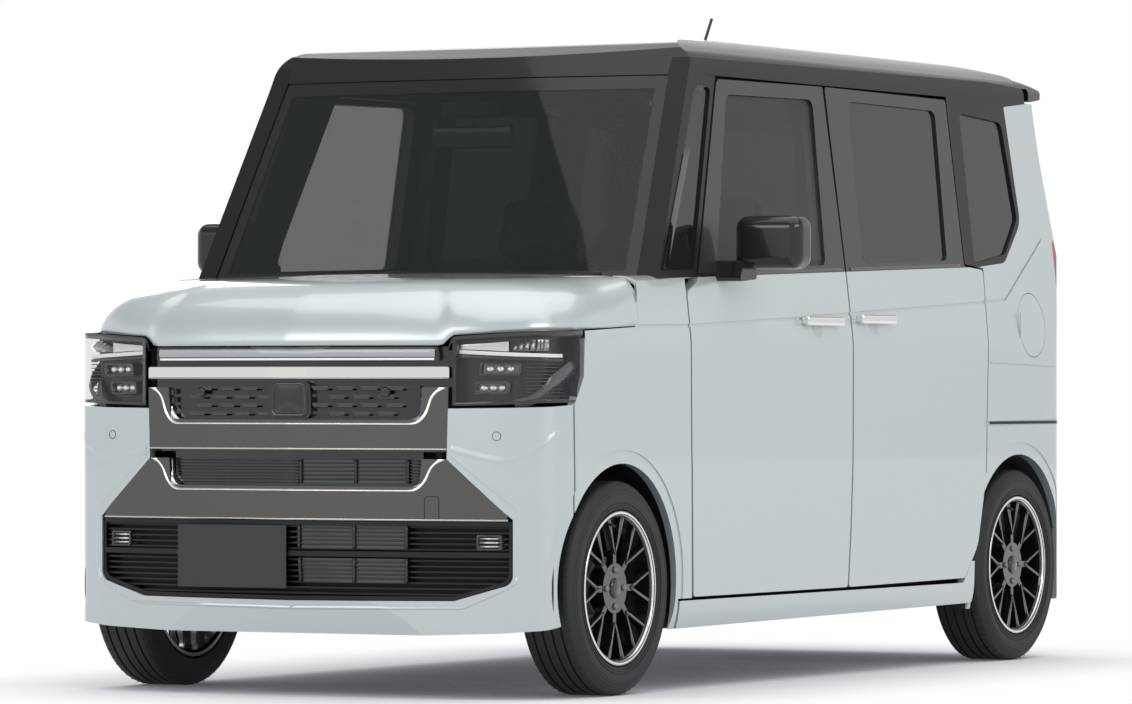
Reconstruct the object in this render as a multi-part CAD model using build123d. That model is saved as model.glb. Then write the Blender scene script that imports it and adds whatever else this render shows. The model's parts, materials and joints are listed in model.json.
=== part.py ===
from build123d import *
import math
import os

os.makedirs("parts", exist_ok=True)

# Frame: the car looks along -Y, its left side is +X, the floor is z = 0.
# Lengthwise places are written as d, the distance behind the front axle.
FRONT_AXLE_Y = -1222.5
WHEELBASE, HALF_TRACK = 2520.0, 652.5
TYRE_R, TYRE_W, RIM_R = 281.2, 165.0, 200.0
WHEEL_Z, ARCH_Z, ARCH_R = 281.2, 286.0, 322.0
GAP = 3.0            # half of a panel gap


def Y(d):
    return FRONT_AXLE_Y + d


def outline(rows, place):
    """Face from rows of (a, b, corner radius)."""
    corners, n = [], len(rows)
    for i in range(n):
        p = Vector(*rows[i][:2])
        r = rows[i][2] if len(rows[i]) > 2 else 0
        u, w = Vector(*rows[i - 1][:2]) - p, Vector(*rows[(i + 1) % n][:2]) - p
        room = 0.49 * min(u.length, w.length)
        u, w = u.normalized(), w.normalized()
        half = math.acos(max(-1, min(1, u.dot(w)))) / 2
        if r <= 0 or half > 1.5705:
            corners.append((p, None, p))
            continue
        t = min(r / math.tan(half), room)
        r = t * math.tan(half)
        c = p + (u + w).normalized() * (r / math.sin(half))
        mid = c + (p - c).normalized() * r
        corners.append((p + u * t, mid, p + w * t))
    edges = []
    for i, (a, m, b) in enumerate(corners):
        if m is not None:
            edges.append(ThreePointArc(place(a), place(m), place(b)))
        nxt = corners[(i + 1) % n][0]
        if (nxt - b).length > 1e-3:
            edges.append(Line(place(b), place(nxt)))
    return make_face(edges)


def side(rows, x0, x1):
    """Side outline, rows of (d, z, radius), from x0 to x1."""
    f = outline(rows, lambda v: Vector(x0, Y(v.X), v.Y))
    return extrude(f, amount=x1 - x0, dir=(1, 0, 0))


def front(rows, d0, d1):
    """Front outline, rows of (x, z, radius), from d0 to d1."""
    f = outline(rows, lambda v: Vector(v.X, Y(d0), v.Y))
    return extrude(f, amount=d1 - d0, dir=(0, 1, 0))


def plan(rows, z0, z1, lean=(0, 0, 1)):
    """Plan outline, rows of (x, d, radius), from z0 up."""
    f = outline(rows, lambda v: Vector(v.X, Y(v.Y), z0))
    return extrude(f, amount=z1 - z0, dir=lean)


def box(x0, x1, d0, d1, z0, z1):
    return Pos((x0 + x1) / 2, Y((d0 + d1) / 2), (z0 + z1) / 2) * Box(x1 - x0, d1 - d0, z1 - z0)


def both(rows):
    """Half outline given on +X, rows of (x, z, r) from the top centre down, closed by its mirror."""
    return rows + [(-r[0],) + tuple(r[1:]) for r in reversed(rows) if r[0] > 0]


def rod(p, q, r):
    """Round bar between two points (x, d, z)."""
    a, b = Vector(p[0], Y(p[1]), p[2]), Vector(q[0], Y(q[1]), q[2])
    return Plane(origin=a, z_dir=(b - a)) * Cylinder(r, (b - a).length, align=(Align.CENTER, Align.CENTER, Align.MIN))


def disc(x0, x1, d, z, r):
    """Cylinder along X."""
    return Pos(x0, Y(d), z) * Rot(0, 90, 0) * Cylinder(r, x1 - x0, align=(Align.CENTER, Align.CENTER, Align.MIN))


def flip(shape):
    return mirror(shape, about=Plane.YZ)


def pair(shape):
    return [shape, flip(shape)]


nodes = {}


def keep(name, shape):
    solids = shape if isinstance(shape, list) else [shape]
    flat = []
    for s in solids:
        flat += [q for q in s.solids() if q.volume > 60]
    nodes[name] = flat[0] if len(flat) == 1 else Compound(children=flat)
    export_step(nodes[name], f"parts/{name}.step")


# body envelope
# section seen from the front, half rows (x, z, radius): sill, door bulge, tumblehome, roof shoulder
def section(inset=0.0, top=0.0):
    i = inset
    return both([(0, 1798 - top, 0), (300, 1790 - top, 1500), (560, 1757 - top, 300), (650 - i, 1705 - top, 70),
                 (654 - i, 1640, 900), (735 - i, 930, 500), (738 - i, 600, 1500), (729 - i, 200, 300), (700 - i, 120, 0)])


def plan_rows(inset=0.0, nose=0.0, tail=0.0):
    f, t = -475 + nose, 2920 - tail
    s = 741 - inset
    half = [(0, f, 0), (330, f + 21, 1300), (600, f + 72, 300), (712 - inset, f + 122, 60), (s - 6, f + 225, 120), (s, f + 500, 400),
            (s, t - 330, 500), (s - 8, t - 120, 80), (690 - inset, t - 26, 60), (400, t - 6, 1500), (0, t, 0)]
    return half + [(-x, d, r) for x, d, r in reversed(half[1:-1])]


SECTION = front(section(), -480, 2930)
PLAN = plan(plan_rows(), 60, 1800)

# nose and underside seen from the side: rows (d, z, radius)
NOSE = side([(-440, 150, 0), (-462, 262, 40), (-476, 420, 200), (-476, 700, 400), (-470, 900, 100), (-458, 960, 80), (-425, 1018, 80), (-330, 1078, 200), (-200, 1300, 0),
             (470, 1300, 0), (470, 150, 0)], -760, 760)


def front_station(d, zc, ze):
    rows = [(-760, 100), (760, 100)]
    pts = [Vector(x, Y(d), z) for x, z in rows]
    r = 90
    edges = [Line(pts[0], pts[1]), Line(pts[1], Vector(760, Y(d), ze - r)),
             ThreePointArc(Vector(760, Y(d), ze - r), Vector(760 - r * 0.2929, Y(d), ze - r * 0.2929), Vector(760 - r, Y(d), ze)),
             ThreePointArc(Vector(760 - r, Y(d), ze), Vector(0, Y(d), zc), Vector(-760 + r, Y(d), ze)),
             ThreePointArc(Vector(-760 + r, Y(d), ze), Vector(-760 + r * 0.2929, Y(d), ze - r * 0.2929), Vector(-760, Y(d), ze - r)),
             Line(Vector(-760, Y(d), ze - r), pts[0])]
    return make_face(edges)


# bonnet stations: d, height at the centre, height at the shoulder
BONNET_STATIONS = [(-490, 1010, 984), (-400, 1048, 1020), (-322, 1070, 1046), (-145, 1098, 1084), (60, 1112, 1100), (470, 1128, 1118)]
FRONT_BODY = loft([front_station(*s) for s in BONNET_STATIONS]) & NOSE & PLAN & SECTION

# cabin seen from the side; the screen is cut by its own leaning arc
CABIN_SIDE = [(40, 150, 0), (40, 1000, 0), (455, 1660, 0), (505, 1705, 60), (640, 1752, 300), (1050, 1786, 1500), (1650, 1795, 3500), (2300, 1779, 1500),
              (2740, 1738, 200), (2790, 1700, 25), (2806, 1500, 600), (2868, 1173, 600), (2896, 978, 300), (2903, 150, 0)]


def screen_cut(depth):
    """Everything behind the windscreen surface, set back by depth; the arc leans with the screen."""
    c, r = 128 + depth, 4200.0
    sag = 760 ** 2 / (2 * r)
    z0 = 1000.0
    e = [ThreePointArc(Vector(-760, Y(c + sag), z0), Vector(0, Y(c), z0), Vector(760, Y(c + sag), z0)),
         Line(Vector(760, Y(c + sag), z0), Vector(760, Y(3000), z0)), Line(Vector(760, Y(3000), z0), Vector(-760, Y(3000), z0)),
         Line(Vector(-760, Y(3000), z0), Vector(-760, Y(c + sag), z0))]
    return extrude(make_face(e), amount=1100, dir=(0, 0.55, 1))


SCREEN_0 = screen_cut(0)
LOW = box(-760, 760, 40, 2930, 100, 1001)
CABIN = side(CABIN_SIDE, -760, 760) & PLAN & SECTION & (SCREEN_0 + LOW)

# planes just inside the outer skin, seen from the front (x, z)
DOOR_IN = both([(0, 1688, 0), (612, 1688, 0), (614, 1650, 0), (676, 1112, 0), (648, 1082, 0), (648, 60, 0)])
RING_OUT = both([(0, 1682, 0), (606, 1682, 0), (608, 1650, 0), (669, 1114, 0), (641, 1084, 0), (641, 60, 0)])
RING_IN = both([(0, 1640, 0), (560, 1640, 0), (618, 1118, 0), (598, 1090, 0), (598, 60, 0)])
door_in = front(DOOR_IN, -480, 2930)
ring_out = front(RING_OUT, -480, 2930)
ring_in = front(RING_IN, -481, 2931)
glass_a, glass_b = front(section(7), -480, 2930), front(section(11.5), -481, 2931)

# outlines seen from the side: rows (d, z, radius)
FRONT_DOOR = [(420, 247, 12), (398, 640, 900), (402, 1062, 20), (470, 1092, 30), (706, 1646, 25), (1362, 1651, 10), (1388, 1130, 200), (1390, 967, 600),
              (1376, 406, 300), (1366, 247, 12)]
REAR_DOOR = [(1374, 247, 12), (1384, 406, 300), (1398, 967, 600), (1396, 1130, 200), (1376, 1651, 10), (2178, 1645, 12), (2190, 1160, 10), (2318, 1150, 14),
             (2290, 768, 900), (2278, 520, 400), (2236, 345, 100), (2150, 252, 30)]
FRONT_WINDOW = [(590, 1130, 26), (756, 1606, 30), (1290, 1612, 26), (1266, 1148, 22)]
REAR_WINDOW = [(1506, 1156, 22), (1520, 1616, 26), (2098, 1610, 26), (2076, 1174, 22)]
QUARTER_WINDOW = [(2264, 1168, 20), (2266, 1610, 22), (2556, 1592, 30), (2600, 1305, 30), (2490, 1200, 50)]
FRONT_QUARTER = [(282, 1120, 14), (566, 1618, 14), (664, 1622, 12), (452, 1122, 14)]


def widen(rows, g):
    """Move each corner out by g along its bisector."""
    out, n = [], len(rows)
    area = sum(rows[i - 1][0] * rows[i][1] - rows[i][0] * rows[i - 1][1] for i in range(n))
    s = 1 if area > 0 else -1
    for i in range(n):
        p = Vector(*rows[i][:2])
        a = (p - Vector(*rows[i - 1][:2])).normalized()
        b = (Vector(*rows[(i + 1) % n][:2]) - p).normalized()
        na, nb = Vector(a.Y * s, -a.X * s), Vector(b.Y * s, -b.X * s)
        m = (na + nb) / (1 + na.dot(nb))
        q = p + m * g
        out.append((q.X, q.Y, max(0, (rows[i][2] if len(rows[i]) > 2 else 0))))
    return out


def arch(d, r, x0=520, x1=760):
    return disc(x0, x1, d, ARCH_Z, r)


# lines pressed into the side
GROOVE = [(88, 968), (401, 972), (1041, 997), (2313, 1055), (2457, 1066), (2759, 1247)]
RAIL_SLOT = [(2272, 700), (2832, 704)]
SEAM = [(2300, 878), (2832, 866)]


def band(line, depth, tall):
    """Zone along a line of (d, z), as deep under the outer skin as given."""
    rows = [(d, z + tall / 2, 0) for d, z in line] + [(d, z - tall / 2, 0) for d, z in reversed(line)]
    return side(rows, 560, 760) & (SECTION - front(section(depth), -481, 2931))


pressed = band(GROOVE, 4, 9) + band(RAIL_SLOT, 16, 15) + band(SEAM, 4, 4)


# doors
def door(rows, window):
    skin = (CABIN + FRONT_DOOR_FILL - door_in) & side(rows, 560, 760)
    return skin - side(window, 560, 760) - pressed


# the front door's lower front corner lies ahead of the cabin block, so the front body fills it
FRONT_DOOR_FILL = FRONT_BODY & box(-760, 760, 380, 468, 100, 1098)


def cup(d, z):
    """Hollow for the fingers behind a door handle."""
    return Pos(798, Y(d), z) * Sphere(76)


front_door = door(FRONT_DOOR, FRONT_WINDOW) - cup(1172, 985)
rear_door = door(REAR_DOOR, REAR_WINDOW) - cup(1536, 993)
DOOR_AXIS = (731, 412)
HINGE_Z = (430, 860)
for z in HINGE_Z:
    front_door = front_door - (Pos(DOOR_AXIS[0], Y(DOOR_AXIS[1]), z) * Cylinder(97, 16) & box(560, 722, 300, 600, z - 20, z + 20))


def belt(d):
    """Height of the line between the body colour and the black window frames."""
    return 1098 + (d - 292) * 0.0306


above = side([(-480, belt(-480), 0), (3000, belt(3000), 0), (3000, 1900, 0), (-480, 1900, 0)], 500, 800)
front_sash, front_panel = front_door & above, front_door - above
rear_sash, rear_panel = rear_door & above, rear_door - above
for s_, tag in ((1, "l"), (-1, "r")):
    turn = (lambda q: q) if s_ > 0 else flip
    keep("front_door_" + tag, [turn(front_panel), turn(front_sash)])
keep("rear_sliding_doors", [q for p in (rear_panel, rear_sash) for q in pair(p)])
pane = glass_a - glass_b
front_glass = pane & side(FRONT_WINDOW, 500, 760)
keep("front_door_glass_l", front_glass)
keep("front_door_glass_r", flip(front_glass))
fixed = [pane & side(w, 500, 760) for w in (REAR_WINDOW, QUARTER_WINDOW, FRONT_QUARTER)]
keep("fixed_side_glass", [q for f in fixed for q in pair(f)])

# body side
# ring behind the doors, rows (d, z, radius)
RING = [(300, 170, 20), (300, 1085, 20), (470, 1105, 0), (705, 1668, 20), (2690, 1668, 20), (2780, 1300, 0), (2830, 690, 0), (2700, 330, 0), (2250, 170, 20)]
RING_HOLES = [[(470, 330, 90), (455, 1080, 60), (745, 1625, 60), (1330, 1625, 60), (1340, 330, 90)],
              [(1440, 330, 90), (1430, 1625, 60), (2140, 1622, 60), (2150, 900, 100), (2130, 640, 150), (2060, 330, 90)],
              [(2250, 1190, 20), (2252, 1622, 20), (2570, 1605, 30), (2615, 1300, 30), (2500, 1182, 40)]]
ring = (ring_out - ring_in) & side(RING, 500, 700)
for hole in RING_HOLES:
    ring = ring - side(hole, 500, 700)
ring = ring - arch(0, 340, 500) - arch(WHEELBASE, 340, 500)
QUARTER = [(2236, 1656, 0), (2184, 1656, 0), (2196, 1166, 0), (2324, 1156, 0), (2296, 768, 900), (2284, 520, 400), (2242, 345, 100), (2200, 300, 0), (2200, 160, 0),
           (2700, 160, 0), (2835, 400, 0), (2835, 688, 0), (2925, 694, 0), (2925, 1656, 0)]
quarter = ((CABIN - door_in) & side(QUARTER, 560, 760)) - side(QUARTER_WINDOW, 560, 760) - arch(WHEELBASE, ARCH_R) - pressed
quarter = quarter - ((CABIN - (Pos(-3, 0, 0) * CABIN)) & (disc(560, 760, WHEELBASE, ARCH_Z, ARCH_R + 36) - disc(560, 760, WHEELBASE, ARCH_Z, ARCH_R)))
rail = (CABIN - door_in) & side([(505, 1655, 0), (505, 1700, 0), (2500, 1712, 0), (2742, 1700, 0), (2742, 1655, 0)], 596, 760)
sill = (CABIN - box(-641, 641, 0, 2900, 0, 320)) & side([(340, 164, 10), (340, 238, 6), (2140, 238, 6), (2196, 300, 0), (2215, 300, 0), (2215, 178, 10)], 560, 760)
PILLAR_A = [(60, 1094, 0), (500, 1740, 0), (600, 1700, 0), (600, 1655, 0), (698, 1654, 0), (464, 1104, 0), (392, 1098, 0)]
pillar_core = front(both([(0, 1900, 0), (592, 1900, 0), (597, 1655, 0), (656, 1094, 0), (656, 900, 0)]), -480, 2930)
pillar_a = (((CABIN - pillar_core) & side(PILLAR_A, 560, 760)) - side(FRONT_QUARTER, 560, 760)) & box(560, 760, 0, 760, 1094, 1700)
TAILGATE = both([(0, 1652, 0), (598, 1652, 0), (604, 1290, 20), (590, 1256, 20), (590, 700, 30), (560, 524, 40), (0, 520, 0)])
TAILGATE_HOLE = both([(0, 1658, 0), (604, 1658, 0), (610, 1288, 20), (596, 1256, 20), (596, 700, 30), (566, 514, 40), (0, 510, 0)])
TAIL_LAMP = [(2925, 772, 0), (2838, 772, 14), (2838, 1248, 14), (2925, 1248, 0)]
post = (CABIN - front(TAILGATE_HOLE, -480, 2930)) & box(590, 700, 2775, 2930, 694, 1656)
lamp_zone = side(TAIL_LAMP, 602, 760)
lug = box(600, 702, 400, 440, 0, 15)
body_side = ring + quarter + rail + sill + pillar_a + post - lamp_zone
for z in HINGE_Z:
    body_side = body_side + (Pos(0, 0, z - 7.5) * lug)
body_side = body_side + (box(634, 646, 2186, 2206, 800, 815) - rear_panel)
body_side = body_side.solids().sort_by(SortBy.VOLUME)[-1]
LID_D, LID_Z, LID_R = 2628, 991, 94
fuel_lid = ((CABIN - front(section(13), -480, 2931)) & disc(690, 760, LID_D, LID_Z, LID_R)) - rod((733.5, 2538, 940), (733.5, 2538, 1040), 2.8)
lid_pin = rod((733.5, 2538, LID_Z - 37), (733.5, 2538, LID_Z + 37), 2.5)
lid_well = disc(690, 760, LID_D, LID_Z, LID_R + 2)
FRAME_EDGE = [(0, belt(0), 0), (2290, belt(2290), 0), (2480, 1174, 60), (2622, 1296, 60), (2588, 1640, 0), (2760, 1656, 0), (2760, 1800, 0), (0, 1800, 0)]
upper_zone = side(FRAME_EDGE, 500, 800)
side_upper, side_lower = body_side & upper_zone, body_side - upper_zone
keep("body_sides", [(side_lower - lid_well) + lid_pin, flip(side_lower)])
keep("window_frames", pair(side_upper))
keep("fuel_lid", fuel_lid)
keep("tail_lamps", pair(CABIN & side(TAIL_LAMP, 602, 760)))

# roof, screen, bulkhead, floor
roof_core = (Pos(0, 0, -26) * CABIN) & box(-600, 600, 0, 2930, 900, 1900)
roof = (CABIN - roof_core) & side([(380, 1700.5, 0), (380, 1900, 0), (2742, 1900, 0), (2742, 1700.5, 0)], -760, 760)
header = (CABIN - screen_cut(48)) & box(-596, 596, 380, 640, 1653, 1760)
roof_rear = (CABIN & box(-595, 595, 2690, 2742, 1690, 1800))
roof_panel = roof + header + roof_rear - body_side - flip(body_side)
for x in (-306.5, 293.5):
    roof_panel = roof_panel - (disc(x, x + 13, 2748, 1726, 48) & box(x, x + 13, 2690, 2760, 1680, 1722))
roof_panel = roof_panel + rod((0, 1900, 1775), (0, 1900, 1803), 24) + rod((0, 1900, 1798), (0, 1960, 1888), 4.5)
keep("roof_panel", roof_panel)
SCREEN = both([(0, 1652, 0), (594, 1652, 20), (652, 1070, 20), (0, 1062, 0)])
windscreen = ((screen_cut(4) - screen_cut(9)) & front(widen(SCREEN, 4), 0, 900) & CABIN) - roof_panel - body_side - flip(body_side)
keep("windscreen", windscreen)
BRACKET = [(154, 1095, 9), (188, 1095, 9), (192, 1000, 0), (172, 1010, 0), (150, 1030, 0)]
brackets = side(BRACKET, -561.5, -551.5)
brackets = brackets + side(BRACKET, 551.5, 561.5)
keep("bulkhead", brackets + side([(344, 222, 0), (360, 222, 0), (360, 806, 30), (186, 1034, 0), (168, 1024, 0), (344, 796, 30)], -598, 598) - arch(0, 340, 380) - flip(arch(0, 340, 380)))
FLOOR = [(361, 232, 0), (361, 250, 0), (2140, 250, 60), (2226, 442, 60), (2846, 442, 0), (2846, 500, 0), (2862, 500, 0), (2862, 424, 0), (2240, 424, 60), (2154, 232, 60)]
floor = side(FLOOR, -598, 598) - arch(WHEELBASE, 340, 505) - flip(arch(WHEELBASE, 340, 505))
for x in (-330, 330):
    floor = floor + box(x - 30, x + 30, 380, 2120, 200, 233)
keep("floor_pan", floor)


def wheel_house(d, x0, x1, lip):
    """Arched liner with an inner wall, open below."""
    arc = disc(x0, x1, d, ARCH_Z, 340) - disc(x0 + 8, x1 + 1, d, ARCH_Z, 330)
    return arc & box(x0, x1, d - 400, d + 400, lip, 700)


front_house = wheel_house(0, 384, 712, 215) - (Pos(538, Y(0), 600) * Box(100, 156, 150))
rear_house = wheel_house(WHEELBASE, 506, 640, 240) - box(500, 514.1, 2000, 2900, 200, 430)
keep("wheel_houses", pair(front_house) + pair(rear_house))

# bonnet, wings, bumpers
CUT = [(-520, 919), (-440, 919), (-212, 937), (84, 966)]
bonnet_zone = side([(d, z + GAP, 0) for d, z in CUT] + [(104, 1060, 60), (104, 1085, 0), (200, 1085, 0), (200, 1300, 0), (-520, 1300, 0)], -760, 760)
bonnet_zone = bonnet_zone & plan([(-760, -520, 0), (760, -520, 0), (760, 104, 0), (640, 108, 0), (400, 119, 900), (0, 128, 3000), (-400, 119, 900), (-640, 108, 0), (-760, 104, 0)], 800, 1300)
bonnet_core = (Pos(0, 20, -20) * FRONT_BODY) & box(-708, 708, -480, 400, 800, 1300)
bonnet = (FRONT_BODY & bonnet_zone) - bonnet_core
BLADE = [(60, 1093, 0), (104, 1093, 0), (182, 1096, 9), (182, 1074, 9), (104, 1066, 10)]
for x in (-570, 562):
    bonnet = bonnet + (side(BLADE, x, x + 8) & (FRONT_BODY - (Pos(0, 0, 0) * bonnet)))
keep("bonnet", bonnet.solids().sort_by(SortBy.VOLUME)[-1])
cowl = ((Pos(0, 0, -16) * FRONT_BODY) & box(-648, 648, 100, 330, 1036, 1200)) - screen_cut(4)
cowl = cowl - body_side - flip(body_side)
for x in (-565, 565):
    cowl = cowl - box(x - 16, x + 16, 100, 206, 1000, 1110)
cowl = cowl - plan([(-760, -520, 0), (760, -520, 0), (760, 112, 0), (640, 116, 0), (400, 127, 900), (0, 136, 3000), (-400, 127, 900), (-640, 116, 0), (-760, 112, 0)], 800, 1300)
cowl = cowl.solids().sort_by(SortBy.VOLUME)[-1]
keep("cowl_panel", cowl)
WING = [(-250, 200, 0), (-259, 765, 0), (-214, 835, 0), (-207, 934, 0), (88, 962, 0), (111, 1060, 60), (111, 1200, 0), (393, 1200, 0), (394, 1062, 20), (390, 640, 900), (409, 247, 0), (409, 244, 0),
        (334, 244, 0), (334, 164, 10), (240, 164, 0)]
wing_core = box(-712, 712, -480, 480, 0, 1050) + box(-650, 650, -480, 480, 1049, 1200) + ((Pos(0, 0, -14) * FRONT_BODY) & box(-712, 712, -480, 480, 1049, 1200))
wing = ((FRONT_BODY - wing_core) & side(WING, 560, 760)) - arch(0, ARCH_R) - body_side - cowl
lip = (FRONT_BODY - (Pos(-3, 0, 0) * FRONT_BODY)) & (disc(560, 760, 0, ARCH_Z, ARCH_R + 36) - disc(560, 760, 0, ARCH_Z, ARCH_R))
wing = wing - pressed - windscreen - lip
keep("front_wings", pair(wing.solids().sort_by(SortBy.VOLUME)[-1]))

NOSE_BLOCK = NOSE & PLAN & box(-760, 760, -480, -150, 100, 1000)


def skin(o1, o2):
    """Layer of the curved nose between two depths."""
    return (Pos(0, o1, 0) * NOSE_BLOCK) - (Pos(0, o2, 0) * NOSE_BLOCK)


BUMPER_OPENING = both([(0, 760, 0), (453.8, 760, 0), (451, 645, 0), (450, 622, 0), (624, 466, 0), (624, 300, 30), (470, 256, 30), (0, 252, 0)])
bumper_zone = side([(-480, 160, 0), (-480, 750, 0), (-265, 762, 0), (-256, 200, 0)], -760, 760)
bumper_core = (Pos(0, 26, 0) * NOSE_BLOCK) & box(-712, 712, -480, 0, 0, 1000)
bumper = (((FRONT_BODY & bumper_zone) - bumper_core) - front(BUMPER_OPENING, -480, -300)) - arch(0, ARCH_R) - flip(arch(0, ARCH_R)) - disc(380, 712, 0, ARCH_Z, 340) - disc(-712, -380, 0, ARCH_Z, 340)
bumper = (bumper - lip - flip(lip)).solids().sort_by(SortBy.VOLUME)[-1]
keep("front_bumper", bumper)

# grille pieces, front outlines in (x, z, radius), each with the depths it spans behind the nose
U1 = front(both([(0, 808, 0), (455, 808, 0), (451, 645, 14), (0, 645, 0)]), -480, -300) - front(both([(0, 830, 0), (386, 830, 0), (377, 724, 8), (0, 724, 0)]), -480, -300)
U2 = front(both([(0, 622, 0), (450, 622, 0), (624, 466, 8), (0, 462, 0)]), -480, -300) - front(both([(0, 640, 0), (385, 640, 0), (376, 551, 8), (0, 551, 0)]), -480, -300)
garnishes = [((skin(-1, 24) & u & NOSE_BLOCK) - bumper).solids().sort_by(SortBy.VOLUME)[-1] for u in (U1, U2)]
keep("grille_garnishes", garnishes)
bars = [skin(2, 24) & front(both([(0, 861, 0), (456, 861, 6), (456, 830, 6), (0, 830, 0)]), -480, -300),
        skin(4, 24) & front(both([(0, 913, 0), (426, 913, 6), (430, 877, 6), (0, 877, 0)]), -480, -300)]
keep("nose_bars", bars)
panel = skin(24, 36) & front(both([(0, 913, 0), (462, 913, 0), (462, 764, 0), (449, 764, 0), (449, 640, 0), (376, 640, 0), (374, 549, 0), (0, 549, 0)]), -480, -300)
for z in (742, 764, 786, 808):
    panel = panel + (skin(10, 27) & box(-374, 374, -480, -300, z - 4, z + 4))
badge = skin(4, 27) & front([(-66, 727, 18), (66, 727, 18), (62, 824, 18), (-62, 824, 18)], -480, -300)
keep("upper_grille", panel + badge)
LOWER = both([(0, 461, 0), (624, 461, 0), (624, 300, 30), (470, 256, 30), (0, 252, 0)])
lower = skin(40, 48) & front(LOWER, -480, -300)
for k in range(13):
    z = 272 + 14.5 * k
    lower = lower + (skin(14, 41) & front(LOWER, -480, -300) & box(-700, 700, -480, -300, z - 2.5, z + 2.5))
lower = lower + (skin(6, 41) & front(LOWER, -480, -300) & box(-700, 700, -480, -300, 368, 382))
lower = lower + (skin(6, 41) & (front(LOWER, -480, -300) - front(widen(LOWER, -12), -480, -300)))
FOG = [(526, 386, 6), (596, 386, 6), (596, 428, 6), (526, 428, 6)]
fog_hole = front(FOG, -480, -300)
lower = lower - fog_hole - flip(fog_hole)
keep("lower_grille", lower)
keep("fog_lamps", pair(skin(10, 48) & front(FOG, -480, -300)))
PLATE_X, PLATE_Z = -171, 366
plate = box(PLATE_X - 165, PLATE_X + 165, -475, -472.5, PLATE_Z - 82, PLATE_Z + 82) + box(PLATE_X - 120, PLATE_X + 120, -472.5, -462, PLATE_Z - 20, PLATE_Z + 20)
plate = plate - lower
keep("front_plate", plate.solids().sort_by(SortBy.VOLUME)[-1])

# headlamps: a block at the corner of the nose, a clear skin and a set-back housing
LAMP = [(-480, 756, 0), (-262, 768, 0), (-220, 838, 0), (-213, 934, 0), (-440, 916, 0), (-480, 916, 0)]
lamp = FRONT_BODY & side(LAMP, 468, 760) & front([(466, 700), (760, 700), (760, 1000), (464, 1000)], -480, -150)
inner = Pos(-4, 5, 0) * lamp
lens = lamp - inner - box(-760, 760, -215, -150, 0, 1300)
keep("headlamp_lenses", pair(lens.solids().sort_by(SortBy.VOLUME)[-1]))
housing = inner & lamp
cavity = (Pos(-34, 46, 0) * lamp) + box(760, 761, 0, 1, 0, 1)
housing = housing - (((lamp - cavity) & box(492, 760, -480, -236, 776, 904)))
housing = housing + (box(520, 560, -396, -340, 735, 770) & NOSE_BLOCK) - bumper
for x, d in ((505, -402), (590, -390)):
    housing = housing + (lamp & (Pos(-8, 12, 0) * lamp) & box(x - 30, x + 30, -440, -300, 800, 862))
keep("headlamp_housings", pair(housing.solids().sort_by(SortBy.VOLUME)[-1]))

# rear end
TAIL = side([(2650, 172, 0), (2880, 172, 30), (2912, 260, 60), (2920, 420, 200), (2920, 600, 60), (2908, 686, 12), (2650, 686, 0)], -760, 760) & PLAN & SECTION
tail_core = (Pos(0, -30, 0) * TAIL) & box(-706, 706, 2600, 2930, 0, 700)
rear_bumper = (TAIL - tail_core) & side([(2940, 100, 0), (2704, 100, 0), (2704, 166, 0), (2840, 402, 0), (2840, 700, 0), (2940, 700, 0)], -760, 760)
rear_bumper = rear_bumper - front(TAILGATE_HOLE, 2600, 2940) - arch(WHEELBASE, ARCH_R) - flip(arch(WHEELBASE, ARCH_R)) - body_side - flip(body_side)
rear_bumper = rear_bumper.solids().sort_by(SortBy.VOLUME)[-1]
keep("rear_bumper", rear_bumper)
floor = floor + (box(-450, 450, 2861, 2900, 430, 490) - rear_bumper)
keep("floor_pan", floor.solids().sort_by(SortBy.VOLUME)[-1])
gate_zone = front(TAILGATE, 2600, 2940)
GATE_WINDOW = both([(0, 1592, 0), (510, 1592, 40), (536, 1150, 50), (0, 1140, 0)])
gate = ((CABIN - Pos(0, -58, 0) * CABIN) & gate_zone & box(-760, 760, 2700, 2940, 500, 1653)) - front(GATE_WINDOW, 2600, 2940)
gate = gate + box(-560, 560, 2754, 2790, 1640, 1702)
for x in (-306, 294):
    gate = gate + side([(2756, 1690, 0), (2756, 1716, 0), (2742, 1716, 6), (2726, 1696, 6), (2726, 1688, 0)], x, x + 12)
keep("tailgate", gate)
keep("tailgate_glass", ((Pos(0, -6, 0) * CABIN) - (Pos(0, -11, 0) * CABIN)) & front(GATE_WINDOW, 2600, 2940))
SPOILER = [(2756, 1702, 0), (2754, 1728, 6), (2884, 1700, 10), (2884, 1672, 8), (2800, 1662, 10), (2796, 1702, 0)]
spoiler = side(SPOILER, -640, 640) & front(section(8), 2600, 2940)
keep("spoiler", spoiler - gate)
keep("rear_plate", box(-165, 165, 2906, 2909, 760, 925) + box(-120, 120, 2888, 2906, 820, 860) - gate)

# wheels
# tyre section, rows (x, radius from the axle, corner radius)
TYRE = [(-69.5, 196, 0), (-69.5, 204, 0), (-80, 208, 6), (-82.5, 240, 20), (-79, 264, 20), (-68, 278, 10), (-58, 281.2, 0), (58, 281.2, 0), (68, 278, 10), (79, 264, 20), (82.5, 240, 20), (80, 208, 6),
        (69.5, 204, 0), (69.5, 196, 0)]


def turned(rows):
    f = outline(rows, lambda v: Vector(v.X, 0, v.Y))
    return revolve(f, Axis.X)


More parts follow.
